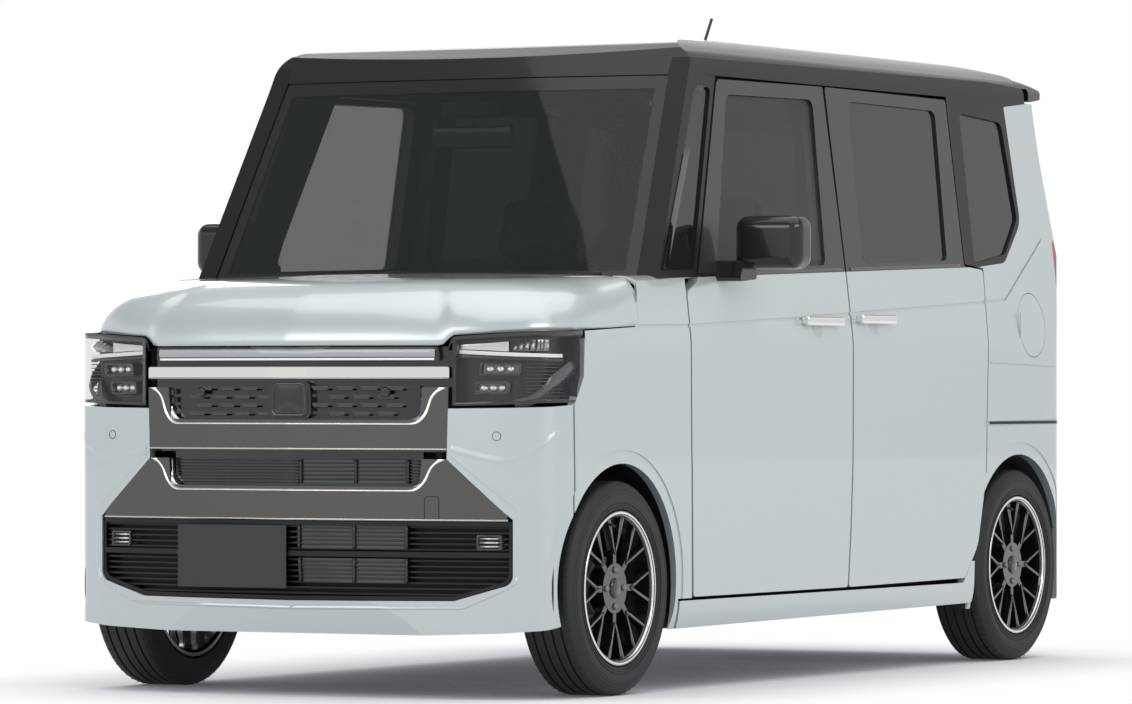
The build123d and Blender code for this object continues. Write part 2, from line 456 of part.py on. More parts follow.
tyre = turned(TYRE)
for x in (-42, -14, 14, 42):
    tyre = tyre - (Rot(0, 90, 0) * (Cylinder(290, 6) - Cylinder(275.5, 8)).moved(Location((0, 0, x))))
barrel = turned([(-78, 203, 0), (-72, 203, 0), (-70, 195.5, 0), (70, 195.5, 0), (72, 203, 0), (78, 203, 0), (78, 194, 0), (66, 186, 0), (-70, 186, 0), (-78, 194, 0)])
hub = Pos(38, 0, 0) * Rot(0, 90, 0) * Cylinder(66, 46)
rim = barrel + hub
for k in range(8):
    a = 45 * k
    spoke = Pos(50, 0, 76) * Box(20, 17, 48)
    for s in (-1, 1):
        spoke = spoke + (Pos(52, 0, 90) * Rot(s * 21.5, 0, 0) * Box(18, 9, 107, align=(Align.CENTER, Align.CENTER, Align.MIN)))
    rim = rim + (Rot(a, 0, 0) * spoke)
bolt_ring = [Pos(62, 48 * math.cos(math.radians(90 * k)), 48 * math.sin(math.radians(90 * k))) * Rot(0, 90, 0) * Cylinder(9, 10) for k in range(4)]
for b in bolt_ring:
    rim = rim - b
rim = rim - (Pos(20, 0, 0) * Rot(0, 90, 0) * Cylinder(20, 30))
drum = Pos(-22, 0, 0) * Rot(0, 90, 0) * (Cylinder(105, 60) - Cylinder(24.6, 70))
rim_rear = rim + drum + Pos(12, 0, 0) * Rot(0, 90, 0) * (Cylinder(60, 12) - Cylinder(30, 20))
brake = Pos(-60, 0, 0) * Rot(0, 90, 0) * (Cylinder(128, 16) - Cylinder(34, 20))
brake = brake + Pos(-20, 0, 0) * Rot(0, 90, 0) * (Cylinder(72, 70) - Cylinder(34, 80)) - Pos(-20, 0, 0) * Rot(0, 90, 0) * Cylinder(34, 100)
CORNERS = [("fl", 0, 1), ("fr", 0, -1), ("rl", WHEELBASE, 1), ("rr", WHEELBASE, -1)]
for tag, d, s in CORNERS:
    place = Pos(HALF_TRACK, Y(d), WHEEL_Z)
    turn = (lambda q: q) if s > 0 else flip
    keep("tyre_" + tag, turn(place * tyre))
    keep("rim_" + tag, turn(place * (rim if d == 0 else rim_rear)))
    if d == 0:
        keep("brake_disc_" + tag, turn(place * brake))
        arm = rod((528, 0, WHEEL_Z), (574, 0, WHEEL_Z), 52) + rod((574, 0, WHEEL_Z), (612, 0, WHEEL_Z), 33.5)
        arm = arm + (Pos(542, Y(0), 420) * Box(24, 70, 290)) + rod((535, 0, 520), (535, 0, 650), 24)
        arm = arm + box(530, 566, -30, 30, 213.5, 262) + box(528, 560, 0, 150, 255, 290)
        arm = arm + (((Pos(592, Y(0), WHEEL_Z) * Rot(0, 90, 0) * (Cylinder(142, 70) - Cylinder(95, 80))) & box(557, 627, 60, 150, 219, 360)) - disc(580, 605, 0, WHEEL_Z, 134))
        arm = arm + (box(542, 562, 30, 150, 250, 330))
        keep("knuckle_" + tag, turn(arm))

beam = rod((-480, 2380, 264), (480, 2380, 264), 38)
for s in (-1, 1):
    beam = beam + rod((s * 470, 2180, 258), (s * 474, 2520, WHEEL_Z), 26) + rod((s * 460, WHEELBASE, WHEEL_Z), (s * 592, WHEELBASE, WHEEL_Z), 46) + rod((s * 592, WHEELBASE, WHEEL_Z), (s * 622, WHEELBASE, WHEEL_Z), 24)
    beam = beam + rod((s * 440, 2440, 262), (s * 440, 2440, 424), 42)
beam = beam - floor
keep("rear_axle", beam.solids().sort_by(SortBy.VOLUME)[-1])

# under the body
sub = box(-384, 384, -60, 190, 196, 232) + box(-220, -160, -40, 60, 232, 260) + box(180, 240, -40, 60, 232, 260)
for s in (-1, 1):
    sub = sub + box(min(s * 380, s * 500), max(s * 380, s * 500), -40, 60, 198, 213) + box(min(s * 490, s * 560), max(s * 490, s * 560), -24, 24, 198, 213)
sub = sub + box(-330, 330, 150, 346, 205, 222)
keep("front_subframe", sub)
engine = box(-300, 330, -250, 130, 260, 800)
keep("engine_block", fillet(engine.edges(), 20))
keep("radiator", box(-340, 340, -400, -360, 300, 700) + box(-420, 420, -362, -342, 420, 470) + box(-380, -350, -362, 300, 232, 300) + box(350, 380, -362, 300, 232, 300) + box(-380, -350, -362, -342, 299, 425) + box(350, 380, -362, -342, 299, 425))
tank = box(-170, 420, 800, 1480, 150, 199)
keep("fuel_tank", fillet(tank.edges().filter_by(Axis.Z), 60) + box(-120, 120, 1000, 1200, 199, 232))
pipe = rod((-240, -40, 172), (-240, 1700, 172), 18) + rod((-240, 1690, 172), (-150, 2230, 178), 18) + Pos(-240, Y(560), 172) * Rot(90, 0, 0) * Cylinder(26, 300)
muffler = Pos(-150, Y(2690), 330) * Rot(0, 90, 0) * Cylinder(78, 460) + rod((-300, 2700, 270), (-420, 2838, 206), 18) + rod((-150, 2222, 178), (-150, 2650, 290), 18)
exhaust = pipe + muffler - beam + rod((-60, 2690, 400), (-60, 2690, 423.9), 8) + rod((-240, 600, 190), (-240, 600, 232), 7)
keep("exhaust", exhaust.solids().sort_by(SortBy.VOLUME)[-1])

# cabin furniture
DASH = [(244, 1040, 0), (262, 1072, 10), (520, 1050, 40), (600, 1010, 40), (606, 930, 30), (560, 780, 60), (470, 700, 60), (362, 812, 0), (200, 1036, 0)]
dash = side(DASH, -598, 598) - windscreen
column = rod((-290, 560, 884.8), (-290, 675.3, 956.8), 30)
hood_box = side([(440, 1040, 0), (452, 1086, 20), (560, 1078, 16), (570, 1000, 0)], -430, -150)
screen_box = side([(480, 1040, 0), (540, 1160, 8), (562, 1156, 8), (560, 1030, 0)], -120, 120)
keep("dashboard", dash + hood_box + screen_box + column + side([(530, 700, 0), (580, 905, 0), (640, 880, 20), (590, 690, 20)], -90, 60))
tilt = math.radians(32)
wheel_at = Plane(origin=(-290, Y(690), 966), x_dir=(1, 0, 0), z_dir=(0, math.cos(tilt), math.sin(tilt)))
helm = wheel_at * (Torus(176, 14) + Cylinder(52, 34) + Box(330, 34, 16) + Box(40, 168, 16).moved(Location((0, -84, 0))))
keep("steering_wheel", helm)


def seat(x, d, w, base):
    """Cushion, back and head rest; the sides share the names used in the scene."""
    cushion = Pos(x, Y(d + 250), 540) * Box(w, 500, 150)
    back = Plane(origin=(x, Y(d + 470), 600), x_dir=(1, 0, 0), z_dir=(0, math.sin(math.radians(16)), math.cos(math.radians(16)))) * Box(w - 20, 110, 590, align=(Align.CENTER, Align.CENTER, Align.MIN))
    head = Plane(origin=(x, Y(d + 470), 600), x_dir=(1, 0, 0), z_dir=(0, math.sin(math.radians(16)), math.cos(math.radians(16)))) * Box(250, 90, 190, align=(Align.CENTER, Align.CENTER, Align.MIN)).moved(Location((0, 0, 590.3)))
    return fillet(cushion.edges(), 40) + fillet(back.edges(), 40) + fillet(head.edges(), 35) + box(x - w / 2 + 40, x + w / 2 - 40, d + 40, d + 296, base, 500)


keep("front_seats", [seat(x, 780, 540, 250) for x in (-290, 290)])
rear = [seat(-254, 1790, 496, 250), seat(254, 1790, 496, 250)]
keep("rear_seat", rear)

# small outside pieces
def handle(d0, d1, z, door_solid):
    grip = fillet(box(737, 757, d0, d1, z - 13, z + 13).edges(), 8)
    for d in (d0 + 14, d1 - 14):
        grip = grip + rod((726, d, z), (745, d, z), 9)
    return grip - door_solid


front_handle = handle(1070, 1300, 991, front_door)
keep("front_handle_l", front_handle)
keep("front_handle_r", flip(front_handle))
keep("rear_handles", pair(handle(1418, 1640, 999, rear_door)))
mirror_body = fillet(box(752, 952, 604, 706, 1126, 1270).edges(), 34)
mirror_body = mirror_body + side([(575, 1092, 10), (600, 1150, 10), (668, 1150, 10), (680, 1100, 10)], 700, 790) - front_door - front_glass
keep("mirror_l", mirror_body.solids().sort_by(SortBy.VOLUME)[-1])
keep("mirror_r", flip(nodes["mirror_l"]))
arms = []
for x0, x1 in ((-560, 60), (-40, 560)):
    at = lambda x, z, off: (x, 128 + (z - 1000) * 0.55 + x * x / 8400 - off, z)
    w = rod(at(x0, 1082, 22), at(x1, 1108, 14), 6) + rod(at(x0 + 60, 1074, 24), at((x0 + x1) / 2, 1096, 20), 8) + rod(at(x0 + 60, 1040, 20), at(x0 + 60, 1078, 24), 10)
    w = w - windscreen - cowl - bonnet
    arms.append(w.solids().sort_by(SortBy.VOLUME)[-1])
keep("wipers", arms)
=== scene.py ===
import bmesh
import bpy
import json
import math
from mathutils import Vector, Matrix
from mathutils.bvhtree import BVHTree

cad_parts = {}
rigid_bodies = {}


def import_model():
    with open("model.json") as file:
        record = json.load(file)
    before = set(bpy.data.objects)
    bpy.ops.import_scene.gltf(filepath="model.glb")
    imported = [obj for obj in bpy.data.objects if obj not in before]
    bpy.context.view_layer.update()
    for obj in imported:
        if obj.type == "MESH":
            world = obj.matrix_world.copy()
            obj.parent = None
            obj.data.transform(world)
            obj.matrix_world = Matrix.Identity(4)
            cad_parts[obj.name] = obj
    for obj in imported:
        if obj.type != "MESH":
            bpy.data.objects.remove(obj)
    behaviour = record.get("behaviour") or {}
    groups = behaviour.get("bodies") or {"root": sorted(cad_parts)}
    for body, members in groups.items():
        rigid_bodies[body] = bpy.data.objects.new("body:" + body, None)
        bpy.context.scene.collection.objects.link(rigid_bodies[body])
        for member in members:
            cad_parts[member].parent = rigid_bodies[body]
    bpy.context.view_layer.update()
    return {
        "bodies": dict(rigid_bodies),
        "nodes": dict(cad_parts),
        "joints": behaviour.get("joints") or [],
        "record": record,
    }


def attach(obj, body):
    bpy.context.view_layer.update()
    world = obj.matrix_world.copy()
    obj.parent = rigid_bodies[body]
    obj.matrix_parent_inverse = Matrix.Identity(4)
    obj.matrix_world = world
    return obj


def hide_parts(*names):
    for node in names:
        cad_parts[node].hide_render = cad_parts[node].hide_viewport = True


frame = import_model()
NODE = frame["nodes"]
AXLE_Y = -1.2225
BELT_RISE = 0.0306
SCREEN_FOOT, SCREEN_TOP = 1.118, 1.615
FACES_UP = 0.45


def Y(d):
    """Row y of a distance d (metres) behind the front axle."""
    return AXLE_Y + d


# materials
def material(
    name, color, rough=0.4, metal=0.0, coat=0.0, coat_rough=0.05, alpha=1.0, emission=0.0, bump=0.0,
    bump_scale=400.0, mottle=0.0, spec=0.5
):
    """Principled material with fine bumps and a slight mottle; uniform values stand on its own sockets."""
    m = bpy.data.materials.new(name)
    m.use_nodes = True
    nt = m.node_tree
    b = nt.nodes["Principled BSDF"]
    plain = {
        "Base Color": (*color, 1), "Roughness": rough, "Metallic": metal, "Coat Weight": coat,
        "Coat Roughness": coat_rough, "Alpha": alpha, "Specular IOR Level": spec,
    }
    for socket, value in plain.items():
        b.inputs[socket].default_value = value
    if emission:
        b.inputs["Emission Color"].default_value = (*color, 1)
        b.inputs["Emission Strength"].default_value = emission
    coord = nt.nodes.new("ShaderNodeTexCoord")
    if mottle:
        n = nt.nodes.new("ShaderNodeTexNoise")
        n.inputs["Scale"].default_value = 30
        mix = nt.nodes.new("ShaderNodeMix")
        mix.data_type = "RGBA"
        mix.inputs[6].default_value = (*[c * (1 - mottle) for c in color], 1)
        mix.inputs[7].default_value = (*[min(1, c * (1 + mottle)) for c in color], 1)
        nt.links.new(coord.outputs["Object"], n.inputs["Vector"])
        nt.links.new(n.outputs["Fac"], mix.inputs[0])
        nt.links.new(mix.outputs[2], b.inputs["Base Color"])
    if bump:
        n = nt.nodes.new("ShaderNodeTexNoise")
        n.inputs["Scale"].default_value = bump_scale
        n.inputs["Detail"].default_value = 4
        bp = nt.nodes.new("ShaderNodeBump")
        bp.inputs["Strength"].default_value = bump
        bp.inputs["Distance"].default_value = 0.001
        nt.links.new(coord.outputs["Object"], n.inputs["Vector"])
        nt.links.new(n.outputs["Fac"], bp.inputs["Height"])
        nt.links.new(bp.outputs["Normal"], b.inputs["Normal"])
    return m


def math_node(nt, op, a, b=None):
    """Math node whose inputs are sockets or numbers."""
    n = nt.nodes.new("ShaderNodeMath")
    n.operation = op
    for i, v in enumerate((a, b)):
        if v is None:
            continue
        if isinstance(v, (int, float)):
            n.inputs[i].default_value = v
        else:
            nt.links.new(v, n.inputs[i])
    return n.outputs[0]


def place_sockets(nt):
    """The x, y and z of the object's own place, which is the place at rest."""
    coord = nt.nodes.new("ShaderNodeTexCoord")
    sep = nt.nodes.new("ShaderNodeSeparateXYZ")
    nt.links.new(coord.outputs["Object"], sep.inputs[0])
    return sep.outputs[0], sep.outputs[1], sep.outputs[2]


def normal_z(nt):
    """How far the surface faces up, from -1 to 1."""
    geo = nt.nodes.new("ShaderNodeNewGeometry")
    sep = nt.nodes.new("ShaderNodeSeparateXYZ")
    nt.links.new(geo.outputs["Normal"], sep.inputs[0])
    return sep.outputs[2]


def blend_in(m, mask, color, rough, metal=0.0, coat=0.0, alpha=None):
    """Change the finish to another one where the mask is 1."""
    nt, b = m.node_tree, m.node_tree.nodes["Principled BSDF"]
    for socket, value in (
        ("Base Color", (*color, 1)), ("Roughness", rough), ("Metallic", metal), ("Coat Weight", coat),
        ("Alpha", alpha)
    ):
        if value is None:
            continue
        mix = nt.nodes.new("ShaderNodeMix")
        mix.data_type = "RGBA" if socket == "Base Color" else "FLOAT"
        a_in, b_in, out = (6, 7, 2) if socket == "Base Color" else (2, 3, 0)
        old = b.inputs[socket].links
        if old:
            nt.links.new(old[0].from_socket, mix.inputs[a_in])
        else:
            mix.inputs[a_in].default_value = b.inputs[socket].default_value
        mix.inputs[b_in].default_value = value
        nt.links.new(mask, mix.inputs[0])
        nt.links.new(mix.outputs[out], b.inputs[socket])


PEARL = dict(color=(0.555, 0.603, 0.612), rough=0.34, metal=0.35, coat=1.0, coat_rough=0.02, mottle=0.015)
PAINT = material("pearl_paint", **PEARL)
PAINT_SIDE = material("pearl_paint_side", **PEARL)
# doors and sides are dark within, and black above the belt as far as the rear pillar
LEAN_FROM_Z, LEAN, INNER_X = 0.93, 0.117, 0.708
BELT_Z, PILLAR_Y = 1.1262, 1.09
nt = PAINT_SIDE.node_tree
sx, sy, sz = place_sockets(nt)
lean = math_node(
    nt, "MULTIPLY", math_node(nt, "MAXIMUM", math_node(nt, "SUBTRACT", sz, LEAN_FROM_Z), 0.0), LEAN
)
depth_mask = math_node(nt, "LESS_THAN", math_node(nt, "ADD", math_node(nt, "ABSOLUTE", sx), lean), INNER_X)
blend_in(PAINT_SIDE, depth_mask, (0.03, 0.03, 0.031), 0.6)
belt_mask = math_node(
    nt, "GREATER_THAN", math_node(nt, "SUBTRACT", sz, math_node(nt, "MULTIPLY", sy, BELT_RISE)), BELT_Z
)
rear_mask = math_node(nt, "LESS_THAN", sy, PILLAR_Y)
blend_in(
    PAINT_SIDE, math_node(nt, "MULTIPLY", belt_mask, rear_mask), (0.016, 0.0165, 0.018), 0.42, coat=0.3
)
BLACK = material("black_paint", (0.008, 0.008, 0.009), 0.22, coat=0.6, mottle=0.05, spec=0.3)
ROOF = material("black_roof_paint", (0.008, 0.008, 0.009), 0.25, coat=0.45, mottle=0.05, spec=0.3)
nt = ROOF.node_tree
blend_in(ROOF, math_node(nt, "LESS_THAN", normal_z(nt), -FACES_UP), (0.36, 0.35, 0.33), 0.9)
SASH = material("sash_black", (0.009, 0.0095, 0.010), 0.38, mottle=0.05, spec=0.28)
PLASTIC = material("black_plastic", (0.012, 0.012, 0.013), 0.45, bump=0.15, bump_scale=900, spec=0.3)
GLOSS_BLACK = material("gloss_black_plastic", (0.008, 0.008, 0.009), 0.12, coat=0.6)
GREY_PLASTIC = material("lamp_housing_black", (0.008, 0.008, 0.009), 0.25, bump=0.1, bump_scale=900)
SCREEN_GLASS = material("screen_glass", (0.016, 0.022, 0.020), 0.02, alpha=0.48, spec=0.5)
# black border of the windscreen: the sides lean in with the height
BORDER_FROM_Z, BORDER_LEAN, BORDER_X = 1.07, 0.0997, 0.622
nt = SCREEN_GLASS.node_tree
sx, sy, sz = place_sockets(nt)
lean = math_node(nt, "MULTIPLY", math_node(nt, "SUBTRACT", sz, BORDER_FROM_Z), BORDER_LEAN)
beside = math_node(nt, "GREATER_THAN", math_node(nt, "ADD", math_node(nt, "ABSOLUTE", sx), lean), BORDER_X)
above, below = math_node(nt, "GREATER_THAN", sz, SCREEN_TOP), math_node(nt, "LESS_THAN", sz, SCREEN_FOOT)
border = math_node(nt, "MAXIMUM", beside, math_node(nt, "MAXIMUM", above, below))
blend_in(SCREEN_GLASS, border, (0.012, 0.013, 0.013), 0.1, alpha=1.0)
GLASS = material("green_glass", (0.05, 0.065, 0.06), 0.02, alpha=0.34, spec=0.6)
PRIVACY = material("privacy_glass", (0.012, 0.013, 0.016), 0.03, alpha=0.86, spec=0.6)
LENS = material("clear_lens", (0.20, 0.21, 0.22), 0.02, alpha=0.07, spec=0.8)
RED = material("red_lens", (0.36, 0.006, 0.010), 0.10, coat=1.0, alpha=0.92)
CHROME = material("bright_chrome", (0.80, 0.80, 0.79), 0.10, 1.0)
BARS = material("chrome_bar_and_black_housing", (0.80, 0.79, 0.77), 0.12, 1.0)
BAR_TOP = 0.869
nt = BARS.node_tree
above = math_node(nt, "GREATER_THAN", place_sockets(nt)[2], BAR_TOP)
blend_in(BARS, above, (0.01, 0.01, 0.011), 0.15, coat=0.5)
SMOKE = material("smoked_chrome", (0.10, 0.097, 0.095), 0.30, 0.85, coat=0.25)
SATIN = material("satin_chrome_lip", (0.86, 0.83, 0.80), 0.22, 1.0)
WHITE = material("white_light_guide", (0.90, 0.91, 0.92), 0.25, emission=0.15)
FROST = material("frosted_light_bar", (0.44, 0.45, 0.46), 0.25, coat=0.6)
CRYSTAL = material("lamp_crystal", (0.84, 0.85, 0.86), 0.14, 0.55, coat=0.8)
LED = material("lamp_optic", (0.16, 0.165, 0.17), 0.15, 0.8, coat=0.6)
PLATE = material("blank_plate", (0.045, 0.047, 0.050), 0.45, bump=0.05, spec=0.3)
RUBBER = material("tyre_rubber", (0.016, 0.016, 0.017), 0.62, bump=0.3, bump_scale=500)
SEAL = material("seal_rubber", (0.010, 0.010, 0.010), 0.5, bump=0.1, bump_scale=700)
RIM = material("black_rim", (0.010, 0.010, 0.011), 0.20, 0.2, coat=0.8)
MACHINED = material("machined_alloy", (0.80, 0.80, 0.79), 0.22, 1.0)
IRON = material("cast_iron", (0.24, 0.23, 0.21), 0.45, 0.6, mottle=0.2)
CHASSIS = material("chassis_black", (0.025, 0.025, 0.026), 0.6, 0.2, mottle=0.1)
FLOOR = material("chassis_and_carpet", (0.025, 0.025, 0.026), 0.6, 0.1, mottle=0.1)
nt = FLOOR.node_tree
blend_in(FLOOR, math_node(nt, "GREATER_THAN", normal_z(nt), FACES_UP), (0.045, 0.043, 0.042), 0.95)
ALLOY = material("cast_alloy", (0.35, 0.35, 0.35), 0.5, 0.8, mottle=0.1)
STEEL = material("exhaust_steel", (0.40, 0.38, 0.35), 0.35, 0.9, mottle=0.15)
LEATHER = material("black_leather", (0.022, 0.022, 0.021), 0.42, bump=0.35, bump_scale=260)
AMBER = material("amber_lens", (0.75, 0.25, 0.02), 0.15, coat=0.8)
REFLECTOR = material("red_reflector", (0.45, 0.01, 0.012), 0.2, coat=1.0, bump=0.4, bump_scale=1500)

FINISH = {
    PAINT: "bonnet front_wings front_bumper rear_bumper tailgate fuel_lid",
    PAINT_SIDE: "front_door_l front_door_r rear_sliding_doors body_sides",
    ROOF: "roof_panel", SASH: "window_frames", BLACK: "spoiler mirror_l mirror_r",
    GLASS: "front_door_glass_l front_door_glass_r", SCREEN_GLASS: "windscreen",
    PRIVACY: "fixed_side_glass tailgate_glass",
    LENS: "headlamp_lenses fog_lamps",
    RED: "tail_lamps",
    GLOSS_BLACK: "upper_grille",
    PLASTIC: "lower_grille cowl_panel wheel_houses dashboard wipers fuel_tank",
    GREY_PLASTIC: "headlamp_housings",
    SMOKE: "grille_garnishes",
    BARS: "nose_bars", CHROME: "front_handle_l front_handle_r rear_handles",
    PLATE: "front_plate rear_plate",
    RUBBER: "tyre_fl tyre_fr tyre_rl tyre_rr",
    RIM: "rim_fl rim_fr rim_rl rim_rr",
    IRON: "brake_disc_fl brake_disc_fr knuckle_fl knuckle_fr",
    CHASSIS: "rear_axle front_subframe bulkhead radiator", FLOOR: "floor_pan",
    ALLOY: "engine_block", STEEL: "exhaust", LEATHER: "steering_wheel",
}
for mat, names in FINISH.items():
    for name in names.split():
        o = NODE[name]
        o.data.materials.clear()
        o.data.materials.append(mat)


def soften(obj, width=0.003, segments=2, angle=32):
    """Round the edges of a CAD node."""
    b = obj.modifiers.new("edge", "BEVEL")
    b.width, b.segments, b.limit_method, b.angle_limit = width, segments, "ANGLE", math.radians(angle)
    b.harden_normals = False
    w = obj.modifiers.new("normals", "WEIGHTED_NORMAL")
    w.keep_sharp = True


# helpers that make pieces
def tree_of(*names):
    """Search tree over the CAD nodes' surfaces at rest."""
    verts, polys = [], []
    for name in names:
        o = NODE[name]
        base = len(verts)
        verts += [o.matrix_world @ v.co for v in o.data.vertices]
        polys += [[base + i for i in p.vertices] for p in o.data.polygons]
    return BVHTree.FromPolygons(verts, polys)


def cast(tree, start, direction):
    """Where a line first meets the tree, or None."""
    hit = tree.ray_cast(Vector(start), Vector(direction).normalized())
    return hit[0]


def fillet_path(rows, steps=8):
    """Open 2-D path through rows of (a, b, radius), each corner rounded."""
    pts = []
    for i, (a, b, r) in enumerate(rows):
        p = Vector((a, b))
        if r <= 0 or i in (0, len(rows) - 1):
            pts.append(p)
            continue
        u, v = Vector(rows[i - 1][:2]) - p, Vector(rows[i + 1][:2]) - p
        half = u.angle(v) / 2
        cut = min(r / math.tan(half), 0.49 * u.length, 0.49 * v.length)
        r = cut * math.tan(half)
        mid = p + (u.normalized() + v.normalized()).normalized() * (r / math.sin(half))
        a0, a1 = p + u.normalized() * cut, p + v.normalized() * cut
        t0, t1 = math.atan2(*(a0 - mid).yx), math.atan2(*(a1 - mid).yx)
        turn = (t1 - t0 + math.pi) % (2 * math.pi) - math.pi
        pts += [
            mid + Vector((math.cos(t0 + turn * k / steps), math.sin(t0 + turn * k / steps))) * r
            for k in range(steps + 1)
        ]
    return pts


def resample(path, n):
    """The path as n points at equal distances along it."""
    lengths = [0.0]
    for p, q in zip(path, path[1:]):
        lengths.append(lengths[-1] + (q - p).length)
    out, j = [], 0
    for k in range(n):
        want = lengths[-1] * k / (n - 1)
        while j < len(path) - 2 and lengths[j + 1] < want:
            j += 1
        span = max(lengths[j + 1] - lengths[j], 1e-9)
        out.append(path[j].lerp(path[j + 1], min(1.0, (want - lengths[j]) / span)))
    return out


def curve(rows, n, steps):
    """Rounded path through rows of (a, b, radius) as n evenly spaced points."""
    return resample(fillet_path(rows, steps), n)


PLAN_ROWS = [
    (0, -0.475, 0), (0.330, -0.454, 1.3), (0.600, -0.403, 0.3), (0.712, -0.353, 0.06),
    (0.735, -0.250, 0.12), (0.741, 0.025, 0)
]
PLAN_PATH = curve(PLAN_ROWS, 400, 16)
NOSE_ROWS = [
    (0.150, -0.440), (0.262, -0.462), (0.420, -0.4755), (0.700, -0.476), (0.900, -0.470), (0.960, -0.458),
    (1.018, -0.425)
]


def nose_d(z):
    """How far forward the nose reaches at a height."""
    for (z0, d0), (z1, d1) in zip(NOSE_ROWS, NOSE_ROWS[1:]):
        if z <= z1:
            return d0 + (d1 - d0) * max(0.0, z - z0) / (z1 - z0)
    return NOSE_ROWS[-1][1]


def nose(x, z, inset=0.0):
    """Point on the curved nose, set in from the surface; past x = 0.735 it runs back along the side."""
    ax = abs(x)
    k = next((i for i, p in enumerate(PLAN_PATH) if p.x >= ax), len(PLAN_PATH) - 1)
    k = min(max(k, 1), len(PLAN_PATH) - 2)
    p, tangent = PLAN_PATH[k].copy(), (PLAN_PATH[k + 1] - PLAN_PATH[k - 1]).normalized()
    if ax <= PLAN_PATH[-1].x:
        before = PLAN_PATH[k - 1]
        p = before.lerp(p, (ax - before.x) / max(p.x - before.x, 1e-9))
    p -= Vector((tangent.y, -tangent.x)) * inset
    d = max(p.y, nose_d(z) + inset)
    return Vector((p.x if x >= 0 else -p.x, Y(d), z))


def finish(obj, mat, body, smooth=True):
    """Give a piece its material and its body."""
    obj.data.materials.append(mat)
    if smooth:
        for p in obj.data.polygons:
            p.use_smooth = True
    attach(obj, body)
    return obj


def piece(
    name, verts, faces, mat, body="car_body", smooth=True, thick=0.0, bevel=0.0,
    offset=-1.0, angle=30
):
    """Mesh piece from points and faces, with an optional wall and rounded edges."""
    me = bpy.data.meshes.new(name)
    me.from_pydata([tuple(v) for v in verts], [], faces)
    bm = bmesh.new()
    bm.from_mesh(me)
    bmesh.ops.remove_doubles(bm, verts=bm.verts, dist=1e-6)
    bmesh.ops.recalc_face_normals(bm, faces=bm.faces)
    bm.to_mesh(me)
    bm.free()
    o = bpy.data.objects.new(name, me)
    bpy.context.scene.collection.objects.link(o)
    if thick:
        s = o.modifiers.new("thick", "SOLIDIFY")
        s.thickness, s.offset = thick, offset
    if bevel:
        b = o.modifiers.new("edge", "BEVEL")
        b.width, b.segments, b.limit_method, b.angle_limit = bevel, 2, "ANGLE", math.radians(angle)
    if bevel or thick:
        w = o.modifiers.new("normals", "WEIGHTED_NORMAL")
        w.keep_sharp = True
    return finish(o, mat, body, smooth)


def ribbon(
    name, rails, mat, body="car_body", closed=False, thick=0.0015, bevel=0.0,
    flip=False
):
    """Surface through two or more rails, each a list of equally many points."""
    n = len(rails[0])
    verts = [p for rail in rails for p in rail]
    faces = []
    for r in range(len(rails) - 1):
        for i in range(n if closed else n - 1):
            j = (i + 1) % n
            f = [r * n + i, r * n + j, (r + 1) * n + j, (r + 1) * n + i]
            faces.append(f[::-1] if flip else f)
    return piece(name, verts, faces, mat, body, thick=thick, bevel=bevel, offset=0.0)


def sweep(
    name, paths, mat, body="car_body", r=0.003, closed=False, sides=8, flat=1.0,
    normal=None
):
    """Round or flattened bar along each path; several paths make one piece."""
    if isinstance(paths[0], Vector):
        paths = [paths]
    verts, faces = [], []
    for path in paths:
        n = len(path)
        base = len(verts)
        up = None
        for i, p in enumerate(path):
            q0 = path[i - 1] if (i or closed) else p
            q1 = path[(i + 1) % n] if (i < n - 1 or closed) else p
            t = (q1 - q0).normalized()
            ref = Vector(normal) if normal is not None else (
                up if up is not None else (Vector((0, 0, 1)) if abs(t.z) < 0.9 else Vector((0, 1, 0)))
            )
            side = t.cross(ref).normalized()
            up = side.cross(t).normalized()
            for k in range(sides):
                a = 2 * math.pi * (k + 0.5) / sides
                verts.append(p + side * math.cos(a) * r + up * math.sin(a) * r * flat)
        for i in range(n if closed else n - 1):
            for k in range(sides):
                a, b = base + i * sides, base + ((i + 1) % n) * sides
                faces.append([a + k, a + (k + 1) % sides, b + (k + 1) % sides, b + k])
        if not closed:
            faces.append([base + k for k in range(sides)][::-1])
            faces.append([base + (n - 1) * sides + k for k in range(sides)])
    return piece(name, verts, faces, mat, body)


def boxes(name, rows, mat, body="car_body", bevel=0.001, frame=None):
    """Boxes from rows of (x0, x1, y0, y1, z0, z1) as one piece, with rounded edges."""
    verts, faces = [], []
    for x0, x1, y0, y1, z0, z1 in rows:
        base = len(verts)
        for z in (z0, z1):
            for x, y in ((x0, y0), (x1, y0), (x1, y1), (x0, y1)):
                v = Vector((x, y, z))
                verts.append(frame @ v if frame else v)
        faces += [
            [base + i for i in f]
            for f in ((3, 2, 1, 0), (4, 5, 6, 7), (0, 1, 5, 4), (1, 2, 6, 5), (2, 3, 7, 6), (3, 0, 4, 7))
        ]
    return piece(name, verts, faces, mat, body, bevel=bevel)


def lathe(name, profile, frame, mat, body="car_body", steps=96, closed=True):
    """Profile of (x, radius) turned about the frame's x axis."""
    verts, faces, n = [], [], len(profile)
    for k in range(steps):
        a = 2 * math.pi * k / steps
        verts += [frame @ Vector((x, r * math.cos(a), r * math.sin(a))) for x, r in profile]
    for k in range(steps):
        a, b = k * n, ((k + 1) % steps) * n
        for i in range(n if closed else n - 1):
            j = (i + 1) % n
            faces.append([a + i, a + j, b + j, b + i])
    return piece(name, verts, faces, mat, body, bevel=0)


def mirror_x(points):
    """The points on the other side of the car."""
    return [Vector((-p.x, p.y, p.z)) for p in points]


